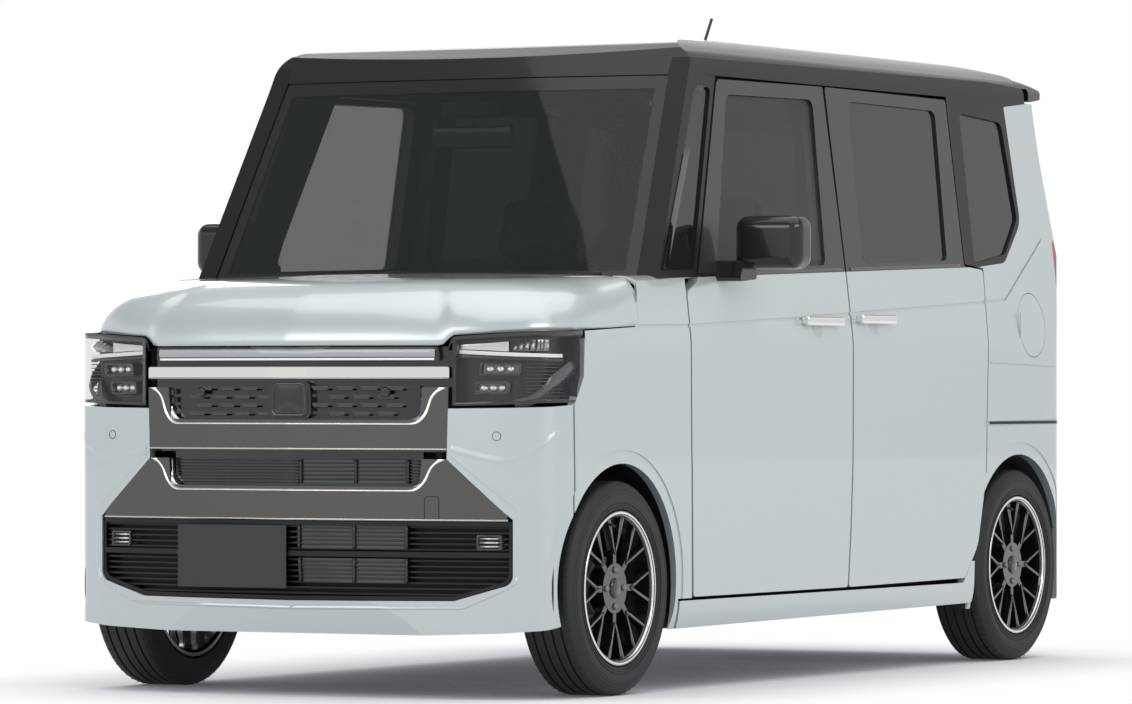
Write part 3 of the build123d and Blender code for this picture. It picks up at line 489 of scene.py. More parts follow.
def ring_path(rows, steps=6):
    """Closed rounded outline through rows of (a, b, radius)."""
    last, first = rows[-1], rows[0]
    a0 = ((last[0] + first[0]) / 2, (last[1] + first[1]) / 2, 0)
    return fillet_path([a0] + list(rows) + [a0], steps)[:-1]


# front: garnish lips, bars, grille
def both_sides(half):
    """Whole path from a half path that ends at x = 0."""
    return [Vector((-p.x, p.y)) for p in half] + [p for p in reversed(half[:-1])]


def on_nose(path, inset, s=1, dx=0.0, dz=0.0):
    """The path of (x, z) points laid on the nose, shifted, on the left (s = 1) or right (s = -1)."""
    return [nose(s * (p.x + dx), p.y + dz, inset) for p in path]


LIPS = {
    "upper_garnish_lip": (
        [
            (0.449, 0.8072, 0), (0.414, 0.790, 0.05), (0.397, 0.737, 0.06), (0.372, 0.7115, 0.05),
            (0, 0.7115, 0)
        ],
        [(0.387, 0.8072, 0), (0.3795, 0.7245, 0.042), (0, 0.7245, 0)]
    ),
    "lower_garnish_lip": (
        [
            (0.446, 0.6212, 0), (0.412, 0.606, 0.05), (0.395, 0.566, 0.06), (0.370, 0.5385, 0.05),
            (0, 0.5385, 0)
        ],
        [(0.386, 0.6212, 0), (0.378, 0.5515, 0.042), (0, 0.5515, 0)]
    )
}
for name, (outer, inner) in LIPS.items():
    a, b = resample(both_sides(fillet_path(outer)), 161), resample(both_sides(fillet_path(inner)), 161)
    mid = [p.lerp(q, 0.15) for p, q in zip(a, b)]
    ribbon(
        name, [on_nose(a, 0.0005), on_nose(mid, -0.0007), on_nose(b, 0.006), on_nose(b, 0.022)], SATIN,
        thick=0.0012
    )
# each garnish's lower edge is a rounded strip of metal much lighter than the smoked garnish: its brightness
# is a painted highlight
for name, z, half in (("upper_garnish_highlight_strip", 0.6475, 0.4505), ("lower_garnish_highlight_strip", 0.4645, 0.612)):
    xs = [half * (k / 40 - 1) for k in range(81)]
    ribbon(
        name,
        [
            [nose(x, z + 0.0022, -0.0003) for x in xs], [nose(x, z, -0.0009) for x in xs],
            [nose(x, z - 0.0022, 0.001) for x in xs]
        ],
        material(name + "_edge", (0.52, 0.50, 0.46), 0.25, 1.0), thick=0.0008
    )


def band(name, x0, x1, z0, z1, inset, mat, thick=0.002, n=60, bulge=0.0):
    """Strip across the nose between two heights, crowned by the bulge."""
    xs = [x0 + (x1 - x0) * k / n for k in range(n + 1)]
    levels = [(0.0, 0.0), (0.2, 0.8), (0.5, 1.0), (0.8, 0.8), (1.0, 0.0)] if bulge else [(0, 0), (1, 0)]
    rails = [[nose(x, z0 + (z1 - z0) * t, inset - bulge * h) for x in xs] for t, h in levels]
    return ribbon(name, rails, mat, thick=thick)


band("light_bar_lens", -0.418, 0.418, 0.8865, 0.9065, 0.0035, FROST, bulge=0.002)
band("light_bar_guide", -0.416, 0.416, 0.8785, 0.8832, 0.0030, WHITE, bulge=0.001)
band("light_bar_top_edge", -0.424, 0.424, 0.9085, 0.9118, 0.0035, GLOSS_BLACK)
# darker metal strip across the chrome bars: painted shade
band(
    "chrome_bar_shade", -0.452, 0.452, 0.8300, 0.8335, 0.0012,
    material("bar_shade", (0.35, 0.34, 0.33), 0.2, 1.0)
)

# slats: upper opening has broken slats with two round studs, the others have fine slats with shutters
def grille_dashes(mat):
    """Four rows of broken slats, clear of the plaque in the middle."""
    rows = []
    pitch, odd, even, clear, reach = 0.072, 0.018, -0.006, 0.075, 0.335
    for i, z in enumerate((0.7415, 0.7635, 0.7855, 0.8075)):
        xs = [pitch * k + (odd if i % 2 else even) for k in range(-5, 6)]
        rows += [(x, z) for x in xs if clear < abs(x) < reach]
    verts, faces = [], []
    for x, z in rows:
        base = len(verts)
        for dx, dz, inset in (
            (-0.027, 0.0035, 0.0085), (-0.020, -0.0075, 0.0085), (0.020, -0.0075, 0.0085),
            (0.027, 0.0035, 0.0085), (-0.027, 0.0045, 0.013), (-0.020, -0.0085, 0.013),
            (0.020, -0.0085, 0.013), (0.027, 0.0045, 0.013)
        ):
            verts.append(nose(x + dx, z + dz, inset))
        faces += [
            [base + i for i in f]
            for f in ((0, 1, 2, 3), (7, 6, 5, 4), (0, 4, 5, 1), (1, 5, 6, 2), (2, 6, 7, 3), (3, 7, 4, 0))
        ]
    piece("grille_dashes", verts, faces, mat, bevel=0.0012)


def grille_studs():
    """Two round studs between the slats."""
    verts, faces = [], []
    around, stud_z = 20, 0.795
    for stud_x in (-0.281, 0.279):
        base = len(verts)
        for k in range(around):
            a = 2 * math.pi * k / around
            for r, inset in ((0.0135, 0.014), (0.0135, 0.004), (0.009, 0.0025)):
                verts.append(nose(stud_x + r * math.cos(a), stud_z + r * math.sin(a), inset))
        for k in range(around):
            a, b = base + 3 * k, base + 3 * ((k + 1) % around)
            faces += [[a, b, b + 1, a + 1], [a + 1, b + 1, b + 2, a + 2]]
        faces.append([base + 3 * k + 2 for k in range(around)])
    piece("grille_studs", verts, faces, GLOSS_BLACK, thick=0.001)


SLAT = material("slat_gloss_grey", (0.028, 0.029, 0.031), 0.18, coat=0.6)
grille_dashes(SLAT)
grille_studs()


def slats(name, spans, zs, inset, deep, tall, mat):
    """Thin horizontal slats of one opening, each a bent bar with a sloped face."""
    verts, faces = [], []
    for x0, x1 in spans:
        for z in zs:
            base, n = len(verts), 16
            for k in range(n + 1):
                x = x0 + (x1 - x0) * k / n
                verts += [
                    nose(x, z + tall / 2, inset + 0.002), nose(x, z - tall / 2, inset),
                    nose(x, z - tall / 2, inset + deep), nose(x, z + tall / 2, inset + deep)
                ]
            for k in range(n):
                a, b = base + 4 * k, base + 4 * k + 4
                faces += [[a + i, a + (i + 1) % 4, b + (i + 1) % 4, b + i] for i in range(4)]
            faces += [[base + 3, base + 2, base + 1, base], [base + 4 * n + i for i in range(4)]]
    return piece(name, verts, faces, mat)


LOUVRE = material("louvre_black", (0.022, 0.0225, 0.024), 0.32, bump=0.05)
slats(
    "middle_louvres", [(-0.368, 0.022), (0.346, 0.369)], [0.5585 + 0.0082 * k for k in range(8)], 0.014,
    0.009, 0.0035, LOUVRE
)
SHUTTER = material("shutter_black", (0.017, 0.0175, 0.019), 0.4, bump=0.05)


def shutter(name, x0, x1, z0, z1, inset):
    """Closed air shutter: narrow leaves across a frame with one post."""
    n = 18
    rails = []
    count = max(3, round((z1 - z0) / 0.011))
    for k in range(count):
        za, zb = z0 + (z1 - z0) * k / count, z0 + (z1 - z0) * (k + 1) / count
        for z, extra in ((za + 0.0004, 0.0), (zb - 0.0012, 0.0022), (zb - 0.0004, 0.0035)):
            rails.append([nose(x0 + (x1 - x0) * i / n, z, inset + extra) for i in range(n + 1)])
    ribbon(name, rails, SHUTTER, thick=0.0015)
    mid = (x0 + x1) / 2 + 0.005
    posts = [[nose(x, z0 + (z1 - z0) * t / 4, inset - 0.003) for t in range(5)] for x in (x0, mid, x1)]
    sweep(name + "_posts", posts, LOUVRE, r=0.0042, sides=6)


shutter("middle_shutter", 0.030, 0.340, 0.5575, 0.6205, 0.018)
shutter("lower_shutter_top", 0.030, 0.340, 0.388, 0.452, 0.008)
shutter("lower_shutter_bottom", 0.030, 0.340, 0.300, 0.364, 0.008)
sweep(
    "tow_cover_line",
    [[
        nose(x, z, -0.0004)
        for x, z in (
            (0.3905, 0.468), (0.3905, 0.518), (0.3935, 0.5235), (0.399, 0.526), (0.421, 0.526),
            (0.4265, 0.5235), (0.4295, 0.518), (0.4295, 0.468)
        )
    ]],
    material("seam_dark", (0.006, 0.006, 0.006), 0.6), r=0.0009, sides=6
)
# plain raised plaque in the middle of the upper grille
plaque = ring_path([
    (-0.057, 0.731, 0.017), (0.057, 0.731, 0.017), (0.053, 0.820, 0.017), (-0.053, 0.820, 0.017)
])
PLAQUE_Z = 0.7755
inner = [Vector((p.x * 0.84, PLAQUE_Z + (p.y - PLAQUE_Z) * 0.82)) for p in plaque]
ribbon(
    "blank_plaque_rim",
    [
        on_nose(plaque, 0.003), on_nose([p.lerp(q, 0.3) for p, q in zip(plaque, inner)], 0.0005),
        on_nose(inner, 0.0018), on_nose(inner, 0.006)
    ],
    GLOSS_BLACK, closed=True, thick=0.001
)
face = on_nose(inner, 0.0035) + [nose(0, PLAQUE_Z, 0.0025)]
piece(
    "blank_plaque_face", face, [[i, (i + 1) % len(inner), len(inner)] for i in range(len(inner))],
    GLOSS_BLACK, thick=0.001
)

# parking sensors, creases of the bumper
def bumper_side(s, tag):
    """Sensor ring, crease and raised frame line on one side of the bumper."""
    ring = [
        Vector((s * 0.583 + 0.0112 * math.cos(a), 0.682 + 0.0112 * math.sin(a)))
        for a in [2 * math.pi * k / 28 for k in range(28)]
    ]
    sweep(
        "bumper_sensor_ring_" + tag, on_nose(ring, -0.0002),
        material("sensor_gap_" + tag, (0.05, 0.055, 0.06), 0.5), r=0.0008, closed=True,
        sides=6
    )
    crease = curve(
        [
            (s * 0.463, 0.646, 0), (s * 0.524, 0.629, 0.2), (s * 0.594, 0.615, 0.2),
            (s * 0.645, 0.628, 0.1), (s * 0.700, 0.660, 0.1), (s * 0.728, 0.700, 0)
        ],
        60, 10
    )
    ribbon(
        "bumper_crease_" + tag,
        [
            [nose(p.x, p.y + dz, i) for p in crease]
            for dz, i in (
                (0.014, 0.0004), (0.003, -0.0012), (0.0, -0.0014), (-0.003, -0.0005), (-0.010, 0.0006)
            )
        ],
        PAINT, thick=0.0005
    )
    frame_line = curve(
        [
            (s * 0.466, 0.630, 0), (s * 0.640, 0.492, 0.05), (s * 0.641, 0.300, 0.06),
            (s * 0.500, 0.238, 0.06), (0, 0.232, 0)
        ],
        120, 10
    )
    ribbon(
        "bumper_bezel_" + tag,
        [
            [nose(p.x + s * dx, p.y + dz, i) for p in frame_line]
            for dx, dz, i in (
                (-0.0065, -0.004, 0.0006), (-0.002, -0.001, -0.0016), (0.001, 0.001, -0.0016),
                (0.010, 0.006, 0.0006)
            )
        ],
        PAINT, thick=0.0005
    )


for s, tag in ((-1, "r"), (1, "l")):
    bumper_side(s, tag)


# headlamps
def patch(name, rows, inset, mat, s, thick=0.0015, n=30):
    """Strip inside the lamp: rows are (x, z low, z high) along it."""
    rails = [[], []]
    for k in range(n + 1):
        t = k / n * (len(rows) - 1)
        i = min(int(t), len(rows) - 2)
        f = t - i
        x, za, zb = [rows[i][j] * (1 - f) + rows[i + 1][j] * f for j in range(3)]
        rails[0].append(nose(s * x, za, inset))
        rails[1].append(nose(s * x, zb, inset))
    return ribbon(name, rails, mat, thick=thick)


def day_lights(s, tag):
    """Light guide with its shelves, and the faceted turn lamp at its end."""
    patch(
        "drl_guide" + tag,
        [
            (0.478, 0.8945, 0.9045), (0.573, 0.8895, 0.8995), (0.648, 0.8865, 0.8965),
            (0.727, 0.8845, 0.8935)
        ],
        0.020, WHITE, s, thick=0.004
    )
    patch(
        "drl_shelf" + tag, [(0.478, 0.906, 0.917), (0.56, 0.903, 0.922), (0.610, 0.900, 0.926)], 0.026,
        CRYSTAL, s
    )
    patch(
        "drl_lower_shelf" + tag, [(0.478, 0.8845, 0.8915), (0.60, 0.8795, 0.8865), (0.727, 0.8745, 0.8815)],
        0.018, GLOSS_BLACK, s, thick=0.003
    )
    verts, faces = [], []
    for k in range(7):
        x0 = 0.618 + 0.0145 * k
        top = 0.916 + 0.005 * min(k, 3)
        base = len(verts)
        verts += [
            nose(s * x0, 0.9015, 0.030), nose(s * (x0 + 0.0125), 0.9015, 0.030),
            nose(s * (x0 + 0.0145), top, 0.034), nose(s * (x0 + 0.004), top, 0.034),
            nose(s * (x0 + 0.007), (0.9015 + top) / 2, 0.016)
        ]
        faces += [[base + a, base + b, base + 4] for a, b in ((0, 1), (1, 2), (2, 3), (3, 0))]
    piece("turn_lamp_facets" + tag, verts, faces, CRYSTAL, smooth=False, thick=0.001)


def optics(s, tag):
    """Two framed blocks of three small projector domes."""
    for label, x0, x1, z0, z1 in (
        ("upper", 0.528, 0.640, 0.838, 0.872), ("lower", 0.516, 0.612, 0.789, 0.823)
    ):
        rim = ring_path([
            (x0, z0, 0.010), (x1, z0, 0.010), (x1 + 0.004, z1, 0.010), (x0 + 0.004, z1, 0.010)
        ])
        small = [
            Vector((
                (x0 + x1) / 2 + (p.x - (x0 + x1) / 2) * 0.90, (z0 + z1) / 2 + (p.y - (z0 + z1) / 2) * 0.72
            ))
            for p in rim
        ]
        ribbon(
            "optic_rim_" + label + tag,
            [
                on_nose(rim, 0.027, s), on_nose(rim, 0.022, s), on_nose(small, 0.022, s),
                on_nose(small, 0.040, s)
            ],
            SLAT, closed=True, thick=0.0012
        )
        back = on_nose(small, 0.038, s)
        piece("optic_back_" + label + tag, back, [list(range(len(back)))], LED, thick=0.001)
        verts, faces = [], []
        for k in range(3):
            cx, cz, rx, rz = x0 + (x1 - x0) * (0.24 + 0.27 * k), (z0 + z1) / 2, 0.0125, 0.0105
            base, around, rings = len(verts), 14, 4
            for level in range(rings):
                t = math.pi / 2 * level / rings
                for q in range(around):
                    a = 2 * math.pi * q / around
                    x, z = cx + rx * math.cos(t) * math.cos(a), cz + rz * math.cos(t) * math.sin(a)
                    verts.append(nose(s * x, z, 0.037 - 0.011 * math.sin(t)))
            verts.append(nose(s * cx, cz, 0.026))
            for level in range(rings - 1):
                row = base + level * around
                faces += [
                    [row + q, row + (q + 1) % around, row + (q + 1) % around + around, row + q + around]
                    for q in range(around)
                ]
            row, tip = base + (rings - 1) * around, base + rings * around
            faces += [[row + q, row + (q + 1) % around, tip] for q in range(around)]
        piece("optic_domes_" + label + tag, verts, faces, CRYSTAL)


def lamp_inside(s, tag):
    """Ribbed wall at the lamp's outer end, with a grey fin before it."""
    ribs = []
    for z in [0.776 + 0.0092 * k for k in range(11)]:
        ribs.append([
            nose(s * (0.652 + 0.080 * k / 12), z, 0.022 - 0.006 * math.sin(math.pi * k / 12))
            for k in range(13)
        ])
    sweep("lamp_ribs" + tag, ribs, SLAT, r=0.0016, sides=5)
    fin = curve([(0.622, 0.770, 0), (0.672, 0.783, 0.1), (0.712, 0.822, 0.1), (0.733, 0.872, 0)], 30, 8)
    ribbon(
        "lamp_fin" + tag,
        [
            on_nose(fin, 0.016, s, dz=0.004), on_nose(fin, 0.012, s, dx=0.004, dz=-0.006),
            on_nose(fin, 0.020, s, dx=0.008, dz=-0.018)
        ],
        material("lamp_fin_grey" + tag, (0.10, 0.105, 0.11), 0.25, 0.6, coat=0.4)
    )


def lamp_shell(s, tag):
    """Clear skin, dark back, closed ends and the black border of one headlamp."""
    rows = [
        (0.4640, 0.7595, 0.9330), (0.4760, 0.7598, 0.9400), (0.6000, 0.7625, 0.9485),
        (0.6800, 0.7670, 0.9520), (0.7345, 0.7690, 0.9545), (0.7357, 0.8340, 0.9570)
    ]
    lens = patch("lamp_lens" + tag, rows, 0.0012, LENS, s, thick=0.0015, n=60)
    back = patch("lamp_back" + tag, rows, 0.045, GREY_PLASTIC, s, thick=0.0015, n=60)
    end = [Vector((0.7354, 0.836 + 0.0012 * k)) for k in range(100)]
    ribbon("lamp_end" + tag, [on_nose(end, 0.0025, s), on_nose(end, 0.047, s)], GREY_PLASTIC, thick=0.001)
    low_end = [Vector((0.7345 + 0.0009 * k / 20, 0.7700 + 0.066 * k / 20)) for k in range(21)]
    ribbon(
        "lamp_low_end" + tag, [on_nose(low_end, 0.0022, s), on_nose(low_end, 0.047, s)], GREY_PLASTIC,
        thick=0.001
    )
    if s > 0:
        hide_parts("headlamp_lenses")
        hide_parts("headlamp_housings")
    edge = curve(
        [
            (0.4560, 0.916, 0.006), (0.4640, 0.9385, 0.02), (0.520, 0.9425, 0.1), (0.640, 0.9490, 0.1),
            (0.7345, 0.9535, 0.01), (0.7357, 0.9560, 0)
        ],
        60, 8
    )
    ribbon(
        "lamp_black_top" + tag,
        [on_nose(edge, 0.0008, s), on_nose(edge, 0.0016, s, dz=-0.013), on_nose(edge, 0.030, s, dz=-0.013)],
        GLOSS_BLACK, thick=0.001
    )
    side_edge = resample([Vector((0.4660, 0.936)), Vector((0.4660, 0.762))], 20)
    ribbon(
        "lamp_black_side" + tag,
        [
            on_nose(side_edge, 0.0008, s), on_nose(side_edge, 0.0012, s, dx=0.010),
            on_nose(side_edge, 0.040, s, dx=0.010)
        ],
        GLOSS_BLACK, thick=0.001
    )
    under = resample([Vector((0.4715, 0.7600)), Vector((0.7345, 0.7685))], 40)
    ribbon(
        "lamp_black_under" + tag, [on_nose(under, 0.0008, s), on_nose(under, 0.0012, s, dz=0.007)],
        GLOSS_BLACK, thick=0.001
    )


def fog_lamp(s, tag):
    """Rim and lens lines of one fog lamp."""
    rim = ring_path([
        (0.5275, 0.3875, 0.006), (0.5945, 0.3875, 0.006), (0.5945, 0.4265, 0.006), (0.5275, 0.4265, 0.006)
    ])
    small = [Vector((0.561 + (p.x - 0.561) * 0.88, 0.407 + (p.y - 0.407) * 0.8)) for p in rim]
    ribbon(
        "fog_lamp_rim" + tag, [on_nose(rim, 0.010, s), on_nose(small, 0.0085, s), on_nose(small, 0.014, s)],
        SLAT, closed=True, thick=0.001
    )
    lines = [
        [nose(s * (0.533 + 0.056 * k), z, 0.016) for k in (0, 0.5, 1)] for z in (0.3965, 0.407, 0.4175)
    ]
    sweep("fog_lamp_lines" + tag, lines, CRYSTAL, r=0.0028, sides=6)


for s, tag in ((-1, "_r"), (1, "_l")):
    for make in (day_lights, optics, lamp_inside, lamp_shell, fog_lamp):
        make(s, tag)

# bonnet: one smooth clamshell skin
N_RIM = 80
RIM = curve(
    [
        (0, -0.4735, 0), (0.330, -0.4525, 1.3), (0.560, -0.405, 0.30), (0.672, -0.335, 0.15),
        (0.729, -0.200, 0.30), (0.7375, 0.086, 0)
    ],
    N_RIM, 14
)
CROWN = curve(
    [(0, -0.225, 0), (0.330, -0.205, 1.0), (0.480, -0.140, 0.18), (0.560, -0.020, 0.30), (0.640, 0.105, 0)],
    N_RIM, 14
)


def bonnet_top(x, d):
    """Height of the bonnet's crown."""
    return 1.1125 - 0.052 * (0.12 - d) - 0.35 * max(0.0, -0.18 - d) ** 1.6 - 0.013 * (abs(x) / 0.70) ** 2.2


def rim_height(p):
    """Lower edge of the bonnet: level over the light bar, a step up over the lamps, then a rise."""
    step = min(1.0, max(0.0, (abs(p.x) - 0.432) / 0.036))
    rise = min(1.0, max(0.0, (abs(p.x) - 0.47) / 0.26))
    return 0.9165 + 0.0265 * step * step * (3 - 2 * step) + 0.013 * rise + 0.014 * min(
        1.0, max(0.0, (p.y + 0.25) / 0.336)
    )


def bonnet_rail(t):
    """One rail of the skin from the rim (t = 0) to the crown (t = 1), for the car's left half."""
    rail = []
    for k, (o, q) in enumerate(zip(RIM, CROWN)):
        power = 1.95 + 0.9 * min(1.0, max(0.0, (o.y + 0.10) / 0.18)) ** 2
        lift = (1 - (1 - t) ** power) ** (1 / power)
        x, d = o.x + (q.x - o.x) * t, o.y + (q.y - o.y) * t
        low = rim_height(o)
        z = low + (bonnet_top(q.x, q.y) - low) * lift
        if k > N_RIM - 8:
            d = min(d, 0.086 + 0.018 * min(1.0, max(0.0, (z - 0.966) / 0.09)))
        rail.append(Vector((x, Y(d), z)))
    return rail


def make_bonnet():
    """The skin from its turned-in lip up to the crown, and across the top."""
    levels = [1 - math.cos(math.pi / 2 * k / 16) for k in range(17)]
    levels = [0.0, 0.004, 0.012] + [v for v in levels if v > 0.02]
    left = [bonnet_rail(t) for t in levels]
    lip = [Vector((p.x * 0.992, p.y + (0.008 if p.y < Y(-0.3) else 0.0), p.z - 0.0005)) for p in left[0]]
    halves = [lip] + left
    n = N_RIM
    verts, faces = [], []
    for rail in halves:
        verts += mirror_x(rail[::-1]) + rail[1:]
    row = 2 * n - 1
    for r in range(len(halves) - 1):
        for i in range(row - 1):
            faces.append([r * row + i, r * row + i + 1, (r + 1) * row + i + 1, (r + 1) * row + i])
    top = halves[-1]
    across = 24
    rungs = []
    for k in range(n - 1, 0, -1):
        p = top[k]
        ids = []
        for j in range(across + 1):
            x = -p.x + 2 * p.x * j / across
            d = p.y - AXLE_Y + (0.128 - 0.024 * (x / 0.76) ** 2 - 0.108) * max(0.0, 1 - (n - 1 - k) / 12.0)
            verts.append(Vector((x, Y(d), bonnet_top(x, d) + (p.z - bonnet_top(p.x, p.y - AXLE_Y)))))
            ids.append(len(verts) - 1)
        rungs.append(ids)
    for a, b in zip(rungs, rungs[1:]):
        for j in range(across):
            faces.append([a[j], a[j + 1], b[j + 1], b[j]])
    bonnet_skin = piece("bonnet_skin", verts, faces, PAINT, "bonnet_lid")
    wall = bonnet_skin.modifiers.new("thick", "SOLIDIFY")
    wall.thickness, wall.offset = 0.006, -1.0
    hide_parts("bonnet")


make_bonnet()


def wing_edges():
    """Painted strip that closes the wing up to the bonnet's edge, on each side."""
    wing_tree = tree_of("front_wings")
    for s, tag in ((1, "_l"), (-1, "_r")):
        rails = [[], []]
        for k in range(37):
            d = -0.2045 + 0.2900 * k / 36
            edge = 0.9330 + 0.0275 * (d + 0.207) / 0.295
            hit = cast(wing_tree, Vector((s * 0.80, Y(d), edge - 0.006)), Vector((-s, 0, 0)))
            if hit is None:
                continue
            x = abs(hit.x)
            top = rim_height(Vector((x, d))) - 0.0035
            rails[0].append(Vector((s * x, Y(d), edge - 0.006)))
            rails[1].append(Vector((s * (x - 0.0008), Y(d), top)))
        if len(rails[0]) > 4:
            ribbon("wing_top_edge" + tag, rails, PAINT, thick=0.002)


wing_edges()


# wheels
def hub_frame(tag):
    """Frame at a wheel's centre with x pointing out of the car."""
    lo, hi = [Vector(v) for v in (NODE["tyre_" + tag].bound_box[0], NODE["tyre_" + tag].bound_box[6])]
    mid = NODE["tyre_" + tag].matrix_world @ ((lo + hi) / 2)
    side = 1 if mid.x > 0 else -1
    return Matrix.Translation(mid) @ Matrix.Diagonal((side, 1, 1, 1))


def spin(points, angle, frame):
    """Points of a wheel turned about its axle by degrees."""
    turn = Matrix.Rotation(math.radians(angle), 4, "X")
    return [frame @ turn @ Vector(p) for p in points]


WHEEL_BODY = {
    "fl": "wheel_front_left", "fr": "wheel_front_right", "rl": "wheel_rear_left", "rr": "wheel_rear_right"
}


def wheel_rings(hub, tag, body):
    """Machined lip of the rim and the raised rings of the tyre's side."""
    lathe(
        "rim_lip_" + tag,
        [
            (0.0784, 0.2025), (0.0784, 0.1955), (0.0725, 0.1885), (0.0690, 0.1895), (0.0765, 0.1965),
            (0.0765, 0.2025)
        ],
        hub, MACHINED, body
    )
    for k, r in enumerate((0.2145, 0.2235, 0.2500, 0.2590)):
        x = (0.0815, 0.0822, 0.0812, 0.0800)[k]
        lathe(
            "sidewall_ring_%d_%s" % (k + 1, tag),
            [(x, r - 0.0016), (x + 0.0008, r), (x, r + 0.0016), (x - 0.003, r)], hub, RUBBER,
            body, steps=72
        )


def spoke_faces(hub, tag, body):
    """Machined ridge on each branch of the eight forked spokes."""
    verts, faces = [], []
    for k in range(8):
        for sgn in (-1, 1):
            a0 = math.radians(sgn * 21.5)
            rows = []
            for t in (0.0, 0.25, 0.5, 0.75, 1.0):
                z, y = 0.088 + 0.107 * t * math.cos(a0), -math.sin(a0) * 0.107 * t
                w = 0.0030 + 0.0010 * t
                rows.append([
                    (0.0613 + 0.005 * t, y - w, z), (0.0625 + 0.005 * t, y, z),
                    (0.0613 + 0.005 * t, y + w, z)
                ])
            base = len(verts)
            for row in rows:
                verts += spin(row, 45 * k, hub)
            for i in range(4):
                for j in range(2):
                    a = base + 3 * i + j
                    faces.append([a, a + 1, a + 4, a + 3])
    piece(
        "spoke_faces_" + tag, verts, faces,
        material("dark_machined_" + tag, (0.16, 0.16, 0.165), 0.25, 0.9, coat=0.3), body,
        thick=0.001
    )


def hub_details(hub, tag, body):
    """Centre cap, lug nuts and tyre valve."""
    lathe(
        "centre_cap_" + tag,
        [
            (0.0600, 0.0), (0.0685, 0.0), (0.0680, 0.018), (0.0655, 0.0255), (0.0620, 0.0275),
            (0.0600, 0.0275)
        ],
        hub, GLOSS_BLACK, body, steps=48
    )
    for k in range(4):
        nut = hub @ Matrix.Rotation(math.radians(90 * k), 4, "X") @ Matrix.Translation((0, 0.048, 0))
        lathe(
            "lug_nut_%d_%s" % (k + 1, tag),
            [(0.052, 0.0), (0.0665, 0.0), (0.0680, 0.004), (0.0665, 0.0085), (0.052, 0.0085)], nut, IRON,
            body, steps=6
        )
    sweep(
        "tyre_valve_" + tag, spin([(0.066, 0.026, 0.172), (0.082, 0.025, 0.166)], 22.5, hub), RUBBER,
        body, r=0.0035
    )


def tread(hub, tag, body):
    """Slanted cuts along both edges of the tread."""
    blocks = []
    for k in range(60):
        for x0, x1, lean in ((-0.066, -0.045, 2.0), (0.045, 0.066, -2.0)):
            blocks.append(spin([(x0, 0, 0.2808), (x1, 0, 0.2808)], 6 * k + lean, hub))
    sweep("tread_sipes_" + tag, blocks, SEAL, body, r=0.0012, sides=4)


for tag, body in WHEEL_BODY.items():
    for make in (wheel_rings, spoke_faces, hub_details, tread):
        make(hub_frame(tag), tag, body)

# pillar glass, seals and side trim
cabin_tree = tree_of("window_frames", "body_sides", "fixed_side_glass")


def outer_point(x, d, z, tree, out=0.0012):
    """Where a line from the side meets the car, set out a little."""
    hit = cast(tree, Vector((x, Y(d), z)), Vector((-math.copysign(1, x), 0, 0)))
    return Vector((hit.x + math.copysign(out, x), hit.y, hit.z)) if hit is not None else None


def pillar_glass(s, tag):
    """Dark glass over the outer part of the front pillar."""
    rails = [[], []]
    for k in range(41):
        t = k / 40
        z = SCREEN_FOOT + 0.506 * t
        front_d = 0.262 + 0.318 * t
        for rail, d in zip(rails, (front_d, front_d + 0.047)):
            rail.append(outer_point(s * 0.80, d, z, cabin_tree))
    ok = [i for i in range(41) if rails[0][i] is not None and rails[1][i] is not None]
    if len(ok) > 5:
        ribbon(
            "pillar_glass" + tag, [[r[i] for i in ok] for r in rails], PRIVACY, thick=0.001
        )


for s, tag in ((1, "_l"), (-1, "_r")):
    pillar_glass(s, tag)
door_tree = tree_of("front_door_l", "front_door_r", "rear_sliding_doors", "body_sides")


def belt_z(d):
    """Height of the lower edge of the side glass."""
    return 1.100 + (d - 0.292) * BELT_RISE


def side_strip(
    name, d0, d1, z0, z1, tree, s, mat, body="car_body", out=0.0015, n=60, rise=0.0
):
    """Thin strip along the car's side between two heights, laid on the pieces of the tree."""
    rails = [[], []]
    for k in range(n + 1):
        d = d0 + (d1 - d0) * k / n
        for rail, z in zip(rails, (z0 + rise * k / n, z1 + rise * k / n)):
            p = outer_point(s * 0.80, d, z, tree, out)
            if p is None:
                return None
            rail.append(p)
    return ribbon(name, rails, mat, body, thick=0.001)


belt_tree = tree_of("front_door_l", "front_door_r", "rear_sliding_doors", "window_frames")
for s, tag, door_body in ((1, "_l", "front_door_left"), (-1, "_r", "front_door_right")):
    side_strip("rail_cover" + tag, 2.345, 2.832, 0.698, 0.706, door_tree, s, SEAL, out=0.0008)
    for label, d0, d1, body in (("front", 0.486, 1.366, door_body), ("rear", 1.420, 2.160, "car_body")):
        side_strip(
            "belt_seal_%s%s" % (label, tag), d0, d1, belt_z(d0), belt_z(d0) + 0.009, belt_tree, s,
            GLOSS_BLACK, body=body, out=0.0012, rise=(d1 - d0) * BELT_RISE
        )

# seats
CLOTH_STEPS, CLOTH_PRESSURE = 12, 4.0


